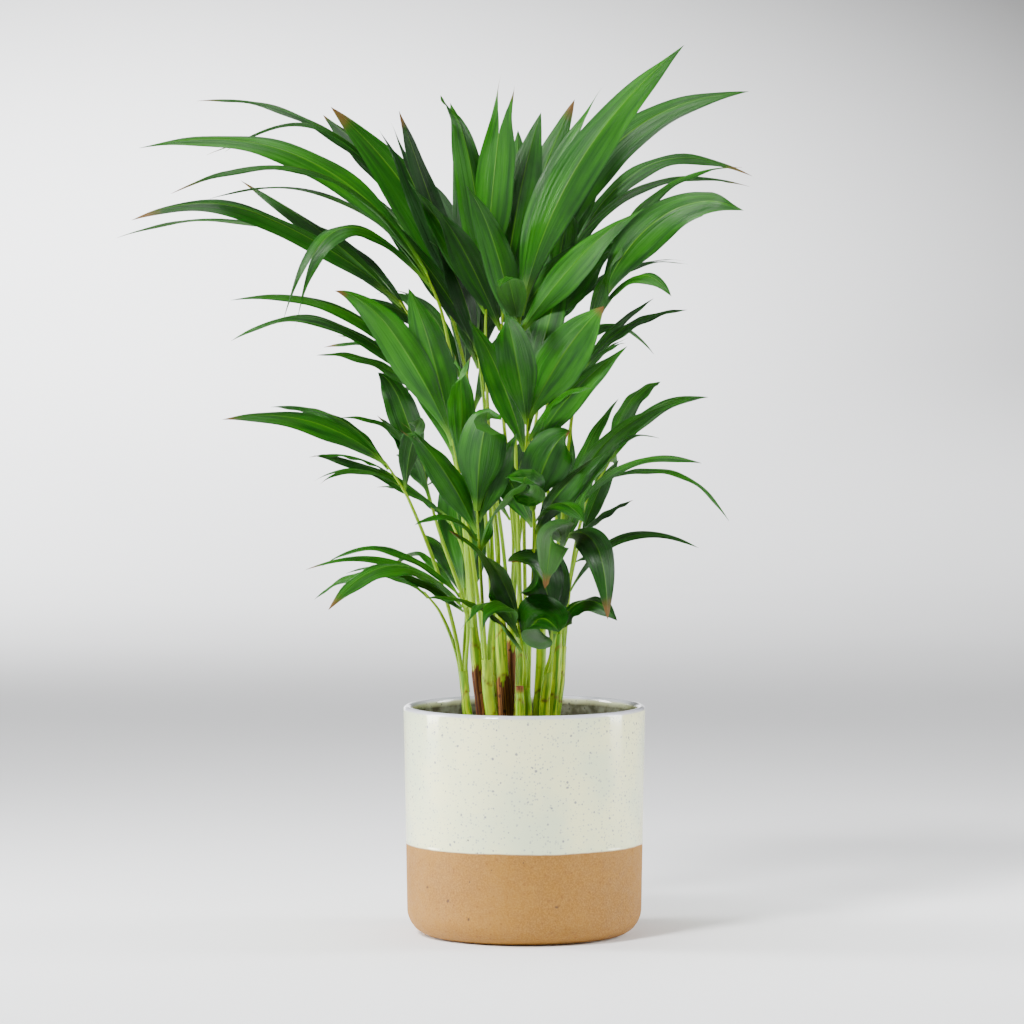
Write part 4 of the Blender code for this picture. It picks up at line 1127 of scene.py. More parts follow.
class Leaflet:
    """A blade grown towards a tip: an arched, tapering strip."""

    def __init__(self, blade: Blade, base: Vector, rachis: Vector, tip: Vector) -> None:
        """Lays the blade's middle line.

        Args:
            blade: Its row of the drawing.
            base: Where it leaves the rachis.
            rachis: The rachis's direction there.
            tip: Where it ends.
        """
        chord = tip - base
        along = chord.normalized()
        above = (UP - along * UP.dot(along) + 0.02 * FRONT).normalized()
        self.base = base
        self.tip = tip
        self.peak = (base + tip) / 2 + above * (2 * blade.arch * chord.length)
        self.length = chord.length
        self.width = blade.width * MM
        self.face = blade.face
        side = rachis.cross(UP)
        self.inward = (side.cross(rachis) + 0.6 * UP).normalized()

    def point(self, share: float) -> Vector:
        """A point of its middle line."""
        return self.base * (1 - share) ** 2 + self.peak * (2 * share * (1 - share)) + self.tip * share**2

    def normal(self, share: float, along: Vector) -> Vector:
        """Finds the way its upper face looks.

        Args:
            share: The share of its length, 0 to 1.
            along: The direction of its line there.

        Returns:
            The direction.
        """
        turn = self.face * (1 - 0.45 * share)
        wanted = self.inward * (1 - abs(turn)) + FRONT * turn
        return (wanted - along * wanted.dot(along)).normalized()

    def rings(self, grow: float = 0.0) -> list[list[Vector]]:
        """Finds the coarse sections after the root.

        Args:
            grow: How much wider it is made, in metres.

        Returns:
            Each section's edge, crown, edge and keel. The last is the tip.
        """
        line = [self.point(share) for share in (0, *PALM.stations)]
        made = []
        for k, share in enumerate(PALM.stations, start=1):
            along = (line[min(k + 1, len(line) - 1)] - line[k - 1]).normalized()
            normal = self.normal(share, along)
            across = along.cross(normal)
            half = self.width * blade_width(share) / 2 + grow
            slim = 0.45 + 0.55 * blade_width(share)
            made.append([
                line[k] - across * half,
                line[k] + normal * (PALM.blade_crown * slim + grow),
                line[k] + across * half,
                line[k] - normal * (PALM.blade_keel * slim + grow),
            ])
        made[-1] = [line[-1]]
        return made

    def root(self, grow: float = 0.0, start: float = 0.0) -> Solid:
        """Builds the coarse first stretch.

        Args:
            grow: How much wider it is made, in metres.
            start: The share of the stretch that is left out.

        Returns:
            The solid.
        """
        first = self.rings(grow)[0]
        ahead = self.point(PALM.stations[0])
        foot = [self.base + (point - ahead).normalized() * (PALM.petiole_radius + grow) for point in first]
        return lofted([[low.lerp(high, start) for low, high in zip(foot, first)], first])

    def outer(self, grow: float = 0.0) -> Solid:
        """The coarse rest of it, as a solid."""
        return lofted(self.rings(grow))


def aside_shifts() -> Iterator[Vector]:
    """Lists the ways aside.

    Returns:
        No shift, then small ones, in millimetres, to the front and back first.
    """
    yield Vector((0, 0, 0))
    for way in PALM.ways:
        for reach in PALM.shifts:
            yield turned_about(FRONT, UP, way) * reach
            yield turned_about(FRONT, UP, way) * -reach


def tips_of(blade: Blade, base: Vector) -> Iterator[Vector]:
    """Lists the tips that a blade may take to find room.

    Args:
        blade: The blade.
        base: Where it starts.

    Returns:
        Its tip as drawn, then the others, to the front and back first.
    """
    chord = placed(*blade.tip) - base
    sideways = chord.cross(FRONT).normalized()
    for share in PALM.shares:
        yield base + chord * share
        for way in PALM.ways:
            axis = turned_about(sideways, chord, way)
            for turn in PALM.turns:
                yield base + turned_about(chord * share, axis, turn)
                yield base + turned_about(chord * share, axis, -turn)


class Room:
    """The coarse solids that stand so far, to test whether a new one is clear of them."""

    def __init__(self) -> None:
        """Starts empty."""
        self.standing: list[tuple] = []

    @staticmethod
    def box(solid: Solid) -> list[list[float]]:
        """The lowest and highest corner of a solid."""
        return [[pick(point[k] for point in solid[0]) for k in range(3)] for pick in (min, max)]

    def add(self, owner: str, solid: Solid, root: bool = False) -> None:
        """Takes in a solid of the piece that owns it, which may be a blade's root."""
        self.standing.append((owner, root, BVHTree.FromPolygons(*solid), *self.box(solid)))

    def clear(self, owner: str, solid: Solid, root: bool = False) -> bool:
        """Tests a solid. Where one is a root, it may meet the rest of its own frond.

        Args:
            owner: The piece that it belongs to.
            solid: Its points and faces.
            root: Whether it is a blade's root.

        Returns:
            True if it meets no other.
        """
        low, high = self.box(solid)
        tree = None
        for other, other_root, standing, other_low, other_high in self.standing:
            if other == owner and (root or other_root):
                continue
            if any(low[k] > other_high[k] or other_low[k] > high[k] for k in range(3)):
                continue
            tree = tree or BVHTree.FromPolygons(*solid)
            if tree.overlap(standing):
                return False
        return True


class Growth:
    """Finds room for every cane, stalk and blade, each where the CAD has it."""

    def __init__(self) -> None:
        """Grows the canes, then the stalks, then the blades in rounds."""
        self.room = Room()
        self.canes = self._canes()
        self.sharing: dict[str, int] = {}
        self.stalks = self._stalks()
        self.solids = {name: self.stalks[name].solid(frond.blades) for name, frond in FRONDS.items()}
        self.leaflets: dict[str, dict[int, Leaflet]] = {name: {} for name in FRONDS}
        for turn in range(max(len(frond.blades) for frond in FRONDS.values())):
            for name, frond in FRONDS.items():
                if turn < len(frond.blades):
                    self._blade(name, frond, turn)

    def _canes(self) -> dict[str, Cane]:
        """Places the canes and the cut stub.

        Returns:
            They by name, each moved aside where another stands in the way.
        """
        grown = {}
        for name, cane in {**CANES, "cut_stub": CUT_STUB}.items():
            for shift in aside_shifts():
                foot = (cane.foot[0] + shift.x, cane.foot[1] + shift.y)
                top = (cane.top[0] + shift.x, cane.top[1] + shift.y, cane.top[2])
                moved = Cane(foot, top, cane.girth)
                if self.room.clear(name, cane_solid(moved, PALM.cane_air)):
                    break
            self.room.add(name, cane_solid(moved))
            grown[name] = moved
        return grown

    def _stalks(self) -> dict[str, Stalk]:
        """Places the stalks.

        Returns:
            They by frond, each bowed aside where another stands in the way.
        """
        plants = {**FRONDS, **SPEARS}
        stalks = {}
        for name, (start, axis, sharing) in starts_of(plants, self.canes).items():
            for shift in aside_shifts():
                stalk = Stalk(plants[name], start, axis, shift * MM)
                if self.room.clear(name, stalk.solid(plants[name].blades, PALM.blade_air / 2)):
                    break
            self.room.add(name, stalk.solid(plants[name].blades))
            stalks[name] = stalk
            self.sharing[plants[name].cane] = sharing
        return stalks

    def _blade(self, name: str, frond: Frond, turn: int) -> None:
        """Places one blade, turned aside or shortened where others stand in the way.

        Args:
            name: Its frond's name.
            frond: Its frond.
            turn: Its place in the frond's list.
        """
        blade = frond.blades[turn]
        stalk = self.stalks[name]
        solid = self.solids[name]
        places, length = stalk.roots(frond.blades)
        place = min(places[blade], stalk.reach)
        middle = stalk.rachis(place)
        rachis = (middle - stalk.rachis(place - length)).normalized()
        sides = stalk.solid(frond.blades)[1]
        for tip in tips_of(blade, middle):
            face = self._root_face(solid, sides, middle, tip)
            leaflet = Leaflet(blade, centre_of([solid[0][k] for k in face]), rachis, tip)
            if not self._finds_room(name, leaflet):
                continue
            grown = grown_from((list(solid[0]), list(solid[1])), face, leaflet.rings())
            if not cuts_itself(grown, len(solid[1]) - 1):
                self.room.add(name, leaflet.root(), root=True)
                self.room.add(name, leaflet.root(start=PALM.neck))
                self.room.add(name, leaflet.outer())
                self.solids[name] = grown
                self.leaflets[name][turn] = leaflet
                return

    def _finds_room(self, name: str, leaflet: Leaflet) -> bool:
        """Tests a blade for room.

        Args:
            name: Its frond.
            leaflet: The blade.

        Returns:
            True if it is clear of other fronds, and past its root clear of its own frond too.
        """
        return (self.room.clear(name, leaflet.root(PALM.blade_air), root=True)
                and self.room.clear(name, leaflet.root(start=PALM.neck))
                and self.room.clear(name, leaflet.outer(PALM.blade_air)))

    @staticmethod
    def _root_face(solid: Solid, sides: list[tuple[int, ...]], base: Vector, tip: Vector) -> tuple[int, ...]:
        """Picks the side of a stalk that a blade grows from.

        Args:
            solid: The frond so far.
            sides: The stalk's own faces.
            base: The middle of the blade's root.
            tip: The blade's tip.

        Returns:
            The free side near the base that looks most towards the tip.
        """
        points, faces = solid
        toward = (tip - base).normalized()

        def looks(face: tuple[int, ...]) -> float:
            """How well this side suits: near the base, and turned to the tip."""
            middle = centre_of([points[k] for k in face])
            return (middle - base).dot(toward) - 3 * abs((middle - base).length - PALM.petiole_radius / 2)

        return max((face for face in faces if face in sides), key=looks)


# Meshes

@dataclass
class Sheet:
    """A mesh that is being gathered from grids, with numbers carried by its points."""

    points: list[Vector] = field(default_factory=list)
    faces: list[tuple[int, ...]] = field(default_factory=list)
    values: dict[str, list[float]] = field(default_factory=dict)

    def add(self, point: Vector, **values: float) -> int:
        """Adds a point.

        Args:
            point: Where it is.
            values: The numbers that it carries, by name.

        Returns:
            Its number.
        """
        for name, value in values.items():
            self.values.setdefault(name, [0.0] * len(self.points)).append(value)
        self.points.append(point)
        for name, carried in self.values.items():
            if len(carried) < len(self.points):
                carried.append(0.0)
        return len(self.points) - 1

    def grid(self, rows: Sequence[Sequence[int]], closed: bool = False, flip: bool = False) -> None:
        """Joins rows of points with faces.

        Args:
            rows: The points' numbers, row by row.
            closed: Whether each row's end meets its start.
            flip: Whether the faces look the other way.
        """
        for low, high in zip(rows, rows[1:]):
            count = len(low)
            for k in range(count if closed else count - 1):
                after = (k + 1) % count
                corners = tuple(dict.fromkeys((low[k], low[after], high[after], high[k])))
                if len(corners) > 2:
                    self.faces.append(corners[::-1] if flip else corners)

    def cap(self, row: Sequence[int], centre: int, flip: bool = False) -> None:
        """Closes a ring with a fan round the point in its middle."""
        self.grid([row, [centre] * len(row)], closed=True, flip=flip)

    def build(self, name: str, finish: Finish, sharp: float = 50.0) -> bpy.types.Object:
        """Makes the object.

        Args:
            name: Its name.
            finish: What it is made of.
            sharp: Edges bent by more degrees than this are sharp.

        Returns:
            The object.
        """
        mesh = bpy.data.meshes.new(name)
        mesh.from_pydata([tuple(point) for point in self.points], [], self.faces)
        for label, carried in self.values.items():
            mesh.attributes.new(label, "FLOAT", "POINT").data.foreach_set("value", carried)
        mesh.materials.append(finish.material)
        mesh.shade_smooth()
        mesh.set_sharp_from_angle(angle=math.radians(sharp))
        made = bpy.data.objects.new(name, mesh)
        bpy.context.scene.collection.objects.link(made)
        if isinstance(finish, BackdropFinish):
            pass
        else:
            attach(made, BODY)
        LOG.info("%s: %d faces", name, len(self.faces))
        return made


def rings_round(sheet: Sheet, line: Sequence[Vector], radii: Sequence[Sequence[float]],
                carried: Sequence[Sequence[dict[str, float]]]) -> list[list[int]]:
    """Adds rings of points round a line.

    Args:
        sheet: The mesh.
        line: The line.
        radii: For each of its points, the radius at each turn.
        carried: For each of them, the numbers that the point carries.

    Returns:
        The points' numbers, ring by ring.
    """
    return [[sheet.add(point, **numbers) for point, numbers in zip(ring, row)]
            for ring, row in zip(rings_of(line, radii), carried)]


def arc(centre: Pair, radius: float, start: float, stop: float, steps: int) -> list[Pair]:
    """The points of an arc of a profile, from one angle to another in degrees, cut into so many steps."""
    angles = [math.radians(start + (stop - start) * k / steps) for k in range(steps + 1)]
    return [(centre[0] + radius * math.cos(a), centre[1] + radius * math.sin(a)) for a in angles]


def spaced(profile: Sequence[Pair], step: float) -> list[Pair]:
    """Adds points to a profile so that none are further apart than a step.

    Args:
        profile: Its points.
        step: The step.

    Returns:
        The longer profile.
    """
    made = [profile[0]]
    for low, high in zip(profile, profile[1:]):
        count = max(1, math.ceil(math.dist(low, high) / step))
        made += [(low[0] + (high[0] - low[0]) * k / count, low[1] + (high[1] - low[1]) * k / count)
                 for k in range(1, count + 1)]
    return made


# The pots and the soil

class CachePot:
    """The stoneware pot: glazed above its hem, bare clay below, glossy inside and darkened there with painted shade.
    """

    eye = 0.5 * MM
    recess = 0.4 * MM
    hem_band = 3 * MM
    hem_step = 0.2 * MM
    bare_foot = 6 * MM

    def __init__(self, sizes: PotSizes, finish: Finish) -> None:
        """Builds the pot.

        Args:
            sizes: Its sizes.
            finish: Its glaze and clay.
        """
        self.sizes = sizes
        sheet = Sheet()
        outline = self._profile()
        crest = max(range(len(outline)), key=lambda k: outline[k][1])
        rows = [self._ring(sheet, radius, height, k <= crest) for k, (radius, height) in enumerate(outline)]
        sheet.grid(rows, closed=True)
        made = sheet.build("stoneware_pot", finish, 40.0)
        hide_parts("ceramic_pot")

    def _profile(self) -> list[Pair]:
        """Draws the pot's outline.

        Returns:
            Its points, from the middle of its foot round the rim to the middle of its floor.
        """
        sizes = self.sizes
        foot = sizes.rim_radius - sizes.taper
        rim = sizes.wall / 2
        outside = [(self.eye, self.recess), (foot - sizes.corner - 4 * MM, self.recess),
                   (foot - sizes.corner - 2 * MM, 0.0)]
        outside += arc((foot - sizes.corner, sizes.corner), sizes.corner, -90, 0, 14)
        rows = round(self.hem_band / self.hem_step)
        wall = [(foot, sizes.hem - self.hem_band)]
        wall += [(foot + sizes.taper * 0.5, sizes.hem + k * self.hem_step) for k in range(-rows, rows + 1)]
        lip = arc((sizes.rim_radius - rim, sizes.height - rim), rim, 0, 180, 16)
        inner = foot - sizes.wall - sizes.inner_corner
        inside = arc((inner, sizes.floor + sizes.inner_corner), sizes.inner_corner, 0, -90, 8)
        outline = outside + wall + lip + inside + [(self.eye, sizes.floor)]
        return [(self._flare(radius, height), height) for radius, height in spaced(outline, 3 * MM)]

    def _flare(self, radius: float, height: float) -> float:
        """Finds the radius on the tapered wall.

        Args:
            radius: The point's radius.
            height: Its height.

        Returns:
            The outer wall's own radius where the point is on it, else the radius given.
        """
        sizes = self.sizes
        foot = sizes.rim_radius - sizes.taper
        if radius < foot - 0.5 * MM or not sizes.corner <= height <= sizes.height - sizes.wall / 2:
            return radius
        return foot + sizes.taper * (height - sizes.corner) / (sizes.height - sizes.wall / 2 - sizes.corner)

    def _ring(self, sheet: Sheet, radius: float, height: float, outer: bool) -> list[int]:
        """Adds one ring, proud where it is glazed.

        Args:
            sheet: The mesh.
            radius: Its radius.
            height: Its height.
            outer: Whether it is on the outside.

        Returns:
            Its points' numbers.
        """
        sizes = self.sizes
        made = []
        for turn in turns_of(sizes.facets):
            way = Vector((math.cos(turn), math.sin(turn), 0))
            sag = 0.35 * MM * noise.noise(way * 2.2) + 0.16 * MM * noise.noise(way * 14 + Vector((5, 0, 0)))
            above = height - sizes.hem - sag
            covered = smooth(above, -0.15 * MM, 0.2 * MM) if outer else 1.0
            bead = math.exp(-((above - 0.7 * MM) / (0.7 * MM)) ** 2) * 0.12 * MM if outer else 0.0
            hem = math.exp(-((above - 0.15 * MM) / (0.35 * MM)) ** 2) if outer else 0.0
            breathe = 0.12 * MM * noise.noise(Vector((way.x * 1.5, way.y * 1.5, height * 18)))
            proud = sizes.glaze * (covered - 1) + bead + breathe if outer and height > self.bare_foot else 0.0
            reach = radius + proud
            lip = smooth(height, sizes.height - 2.6 * MM, sizes.height - 1.2 * MM)
            # How far down inside the pot a point lies, which the finish darkens with painted shade.
            deep = 0.0 if outer else smooth(sizes.height - height, 1.2 * MM, 5 * MM)
            made.append(sheet.add(Vector((way.x * reach, way.y * reach, height)), glaze=covered, hem=hem,
                                  rim=lip * (1 - deep), inside=deep))
        return made


class NurseryPot:
    """The thin plastic pot inside, ribbed, with a rolled lip and drain holes."""

    eye = 1 * MM
    roll = 0.8 * MM
    rib_depth = 0.25 * MM

    def __init__(self, sizes: NurserySizes, pot: PotSizes, finish: Finish) -> None:
        """Builds the pot.

        Args:
            sizes: Its sizes.
            pot: The stoneware pot that it stands in.
            finish: Its plastic.
        """
        self.sizes = sizes
        self.floor = pot.floor + PALM.air
        sheet = Sheet()
        rows = [[sheet.add(self._point(radius, height, turn)) for turn in turns_of(sizes.facets)]
                for radius, height in self._profile()]
        sheet.grid(rows, closed=True)
        sheet.faces += [tuple(rows[0][::-1]), tuple(rows[-1])]
        made = sheet.build("plastic_pot", finish, 35.0)
        self._drill(made)
        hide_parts("nursery_pot")

    def _profile(self) -> list[Pair]:
        """Draws the pot's outline.

        Returns:
            Its points, from the foot's middle up the outside, over the lip and down the inside.
        """
        sizes = self.sizes
        foot = sizes.radius - sizes.draft
        under = sizes.top - sizes.lip_height
        shoulder = sizes.radius - sizes.lip
        roll = self.roll
        lip = [(sizes.radius - roll, under), *arc((sizes.radius - roll, under + roll), roll, -60, 0, 3),
               *arc((sizes.radius - roll, sizes.top - roll), roll, 0, 90, 5),
               (shoulder - sizes.wall, sizes.top), (shoulder - sizes.wall, under)]
        outline = [(self.eye, self.floor), (foot, self.floor), (shoulder, under), *lip,
                   (foot - sizes.wall, self.floor + sizes.wall), (self.eye, self.floor + sizes.wall)]
        return spaced(outline, 6 * MM)

    def _point(self, radius: float, height: float, turn: float) -> Vector:
        """Finds a point of the wall.

        Args:
            radius: Its radius.
            height: Its height.
            turn: Its angle round the pot.

        Returns:
            The point, pressed in a little between its ribs.
        """
        ribbed = smooth(height, 20 * MM, 26 * MM) * (1 - smooth(height, 98 * MM, 106 * MM))
        press = -self.rib_depth * ribbed * (0.5 + 0.5 * math.cos(self.sizes.ribs * turn)) if radius > 30 * MM else 0.0
        return Vector(((radius + press) * math.cos(turn), (radius + press) * math.sin(turn), height))

    def _drill(self, pot: bpy.types.Object) -> None:
        """Cuts the drain holes.

        Args:
            pot: The pot.
        """
        cutter = bmesh.new()
        for k in range(self.sizes.holes):
            turn = math.tau * (k + 0.08) / self.sizes.holes
            place = Matrix.Translation((self.sizes.hole_ring * math.cos(turn),
                                        self.sizes.hole_ring * math.sin(turn), self.floor))
            bmesh.ops.create_cone(cutter, cap_ends=True, segments=32, radius1=self.sizes.hole_radius,
                                  radius2=self.sizes.hole_radius, depth=8 * MM, matrix=place)
        holes = bpy.data.objects.new("holes", bpy.data.meshes.new("holes"))
        cutter.to_mesh(holes.data)
        cutter.free()
        bpy.context.scene.collection.objects.link(holes)
        step = pot.modifiers.new("drain holes", "BOOLEAN")
        step.object = holes
        step.operation = "DIFFERENCE"
        graph = bpy.context.evaluated_depsgraph_get()
        drilled = bpy.data.meshes.new_from_object(pot.evaluated_get(graph))
        pot.modifiers.clear()
        pot.data = drilled
        bpy.data.objects.remove(holes)


class Soil:
    """Moist potting soil with crumbs, bark and perlite lying on it."""

    bottom = 11 * MM
    rings = 44
    around = 132
    crumbs = 620
    perlite = 0.88

    def __init__(self, sizes: NurserySizes, finish: Finish) -> None:
        """Builds the soil.

        Args:
            sizes: The plastic pot that it fills.
            finish: Its peat.
        """
        self.radius = sizes.radius - sizes.lip - sizes.wall - 0.6 * MM
        self.foot = sizes.radius - sizes.draft - 2 * sizes.wall
        sheet = Sheet()
        self._ground(sheet)
        self._crumbs(sheet)
        made = sheet.build("soil", finish, 60.0)
        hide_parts("potting_soil")

    def _height(self, x: float, y: float) -> float:
        """Finds the ground's height at a place.

        Args:
            x: The place across.
            y: The place in depth.

        Returns:
            The height.
        """
        far = math.hypot(x, y) / self.radius
        rough = noise.fractal(Vector((x * 70, y * 70, 3.1)), 0.9, 2.1, 4)
        return PALM.soil - PALM.crown * far - 0.6 * MM + 1.1 * MM * rough * (1 - 0.5 * far)

    def _ground(self, sheet: Sheet) -> None:
        """Adds the rough top and the plain sides.

        Args:
            sheet: The mesh.
        """
        turns = turns_of(self.around)
        rows = [[sheet.add(Vector((0, 0, self._height(0, 0))))]]
        for ring in range(1, self.rings + 1):
            reach = self.radius * ring / self.rings
            rows.append([sheet.add(Vector((reach * math.cos(a), reach * math.sin(a),
                                           self._height(reach * math.cos(a), reach * math.sin(a))))) for a in turns])
        rows.append([sheet.add(Vector((self.foot * math.cos(a), self.foot * math.sin(a), self.bottom)))
                     for a in turns])
        sheet.grid(rows[1:], closed=True, flip=True)
        sheet.cap(rows[1], rows[0][0])
        sheet.cap(rows[-1], sheet.add(Vector((0, 0, self.bottom))), flip=True)

    def _crumbs(self, sheet: Sheet) -> None:
        """Scatters crumbs over the top.

        Args:
            sheet: The mesh.
        """
        lot = random.Random("crumbs")
        for _ in range(self.crumbs):
            reach = self.radius * math.sqrt(lot.random()) * 0.96
            turn = lot.uniform(0, math.tau)
            x, y = reach * math.cos(turn), reach * math.sin(turn)
            kind = lot.random()
            size = lot.uniform(0.5, 1.3) * MM * (1.5 if kind > self.perlite else 1.0)
            self._crumb(sheet, Vector((x, y, self._height(x, y) + size * 0.2)), size, kind, lot)

    @staticmethod
    def _crumb(sheet: Sheet, place: Vector, size: float, kind: float, lot: random.Random) -> None:
        """Adds one crumb, a rough pebble.

        Args:
            sheet: The mesh.
            place: Its middle.
            size: Its radius.
            kind: What it is, dark peat at 0 to white perlite at 1.
            lot: The source of its unevenness.
        """
        shape = bmesh.new()
        bmesh.ops.create_icosphere(shape, subdivisions=1, radius=1.0)
        long = Vector((lot.uniform(0.7, 1.7), lot.uniform(0.7, 1.1), lot.uniform(0.5, 0.9)))
        spin = Matrix.Rotation(lot.uniform(0, math.tau), 3, "Z")
        base = len(sheet.points)
        for corner in shape.verts:
            rough = 1 + lot.uniform(-0.22, 0.22)
            stretched = Vector((corner.co.x * long.x, corner.co.y * long.y, corner.co.z * long.z))
            sheet.add(place + spin @ stretched * size * rough, crumb=kind)
        sheet.faces += [tuple(base + corner.index for corner in face.verts) for face in shape.faces]
        shape.free()


# The palm

class CaneLook:
    """One cane: wrapped leaf bases with slanting rims, scars, and dry sheaths at some feet."""

    around = 28
    rise = 1.6 * MM
    short_neck = 5 * MM
    long_neck = 13 * MM
    mouth_wall = 0.22
    sheath = 0.4 * MM

    def __init__(self, name: str, cane: Cane, sharing: int, finish: Finish) -> None:
        """Builds the cane.

        Args:
            name: Its node's name.
            cane: Its row of the drawing, as it stands.
            sharing: How many stalks leave its top.
            finish: Its skin.
        """
        self.lot = random.Random(name)
        self.cane = cane
        self.seed = self.lot.random()
        self.cut = sharing == 0
        self.radius = PALM.cane_radius * cane.girth
        apart = 0.0 if sharing < 2 else (PALM.petiole_radius + PALM.air / 2) / math.sin(math.pi / sharing)
        self.mouth = 0.8 * self.radius if self.cut else apart + PALM.petiole_radius + 0.25 * MM
        self.neck = 0.0 if self.cut else (self.short_neck if sharing > 1 else self.long_neck)
        self.length = (placed(*cane.top) - placed(*cane.foot, DATUM)).length
        self.rims = self._rims()
        self.dry_to = self.lot.uniform(0.25, 0.9) if name in DRY_CANES else 0.0
        sheet = Sheet()
        self._skin(sheet)
        made = sheet.build(f"{name}_skin", finish, 45.0)
        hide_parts(name)

    def _rims(self) -> list[Triple]:
        """Lists the rims of older leaf bases.

        Returns:
            Each one's height as a share, the way it slants, and how much.
        """
        count = self.lot.randint(2, 3)
        return [((k + self.lot.uniform(0.25, 0.75)) / count, self.lot.uniform(0, math.tau),
                 self.lot.uniform(2, 5) * MM) for k in range(count)]

    def _skin(self, sheet: Sheet) -> None:
        """Adds the cane's skin, from below the soil to its mouth.

        Args:
            sheet: The mesh.
        """
        below, foot, _, top = cane_line(self.cane)
        axis = (top - foot).normalized()
        steps = int((self.length + self.neck) / self.rise)
        buried = [below.lerp(foot, k / 3) for k in range(3)]
        line = buried + [foot + axis * (self.length + self.neck) * k / steps for k in range(steps + 1)]
        aside = turned_about(FRONT, UP, self.lot.uniform(0, 360))
        line = [point + aside * 0.7 * MM * math.sin(min(max((point - foot).dot(axis) / self.length, 0), 1) * math.tau)
                for point in line]
        heights = [(point - foot).dot(axis) for point in line]
        radii, carried = [], []
        for height in heights:
            row = [self._point(height, turn) for turn in turns_of(self.around)]
            radii.append([reach for reach, _ in row])
            carried.append([numbers for _, numbers in row])
        rows = rings_round(sheet, line, radii, carried)
        sheet.grid(rows, closed=True)
        sheet.cap(rows[0], sheet.add(line[0], seed=self.seed), flip=True)
        inner = [[reach * (1 - self.mouth_wall) for reach in radii[-1]]]
        numbers = [[{"seed": self.seed, "dry": 1.0 if self.cut else 0.4, "height": 1.0}] * self.around]
        lip = rings_round(sheet, [line[-1] - axis * 0.2 * MM, line[-1]], inner * 2, numbers * 2)[:1]
        sheet.grid([rows[-1], lip[0]], closed=True)
        sunk = sheet.add(line[-1] - axis * (1.5 * MM if self.cut else 2.5 * MM), seed=self.seed, dry=1.0, height=1.0)
        sheet.cap(lip[0], sunk)

    def _point(self, height: float, turn: float) -> tuple[float, dict[str, float]]:
        """One point of the skin.

        Args:
            height: Metres above the soil.
            turn: The way it looks.

        Returns:
            Its distance from the middle line, and the numbers that it carries.
        """
        share = height / self.length
        reach = self.radius * (1 + (PALM.swell - 1) * (1 - smooth(share, 0.0, 0.5)))
        reach += (self.mouth - reach) * smooth(height, self.length * 0.86, self.length + self.neck)
        scar = 0.0
        for place, way, slant in self.rims:
            rim = place * self.length + slant * math.cos(turn - way)
            reach += 0.22 * MM * (1 - smooth(height, rim - 0.5 * MM, rim + 0.6 * MM))
            scar = max(scar, math.exp(-((height - rim) / (0.9 * MM)) ** 2))
        ragged = self.dry_to * self.length + 7 * MM * noise.noise(Vector((math.cos(turn) * 1.6, math.sin(turn) * 1.6,
                                                                          self.seed * 40)))
        ragged += 4 * MM * noise.noise(Vector((math.cos(turn) * 6, math.sin(turn) * 6, self.seed * 90)))
        dry = (1 - smooth(height, ragged - 0.6 * MM, ragged + 0.6 * MM)) if self.dry_to else 0.0
        if self.cut:
            dry = smooth(height, self.length - 4.5 * MM, self.length - 2.5 * MM)
        reach += self.sheath * dry
        reach += 0.07 * MM * noise.noise(Vector((math.cos(turn) * 5, math.sin(turn) * 5, share * 3 + self.seed * 50)))
        return reach - 0.3 * MM, {"seed": self.seed, "height": min(max(share, 0.0), 1.0), "round": turn / math.tau,
                                  "scar": scar * (1 - dry), "dry": dry}


DRY_CANES = ("cane_04", "cane_05", "cane_07", "cane_09", "cane_15")


def strap_width(share: float) -> float:
    """Finds a blade's true width, fuller towards its tip than the coarse one.

    Args:
        share: The share of its length, 0 to 1.

    Returns:
        Its width there, as a share of its greatest.
    """
    if share < 0.42:
        return 0.12 + 0.86 * smooth(share, -0.03, 0.42)
    return 0.98 * max(math.cos(math.pi / 2 * ((share - 0.42) / 0.58) ** 1.25), 0.0) ** 0.9


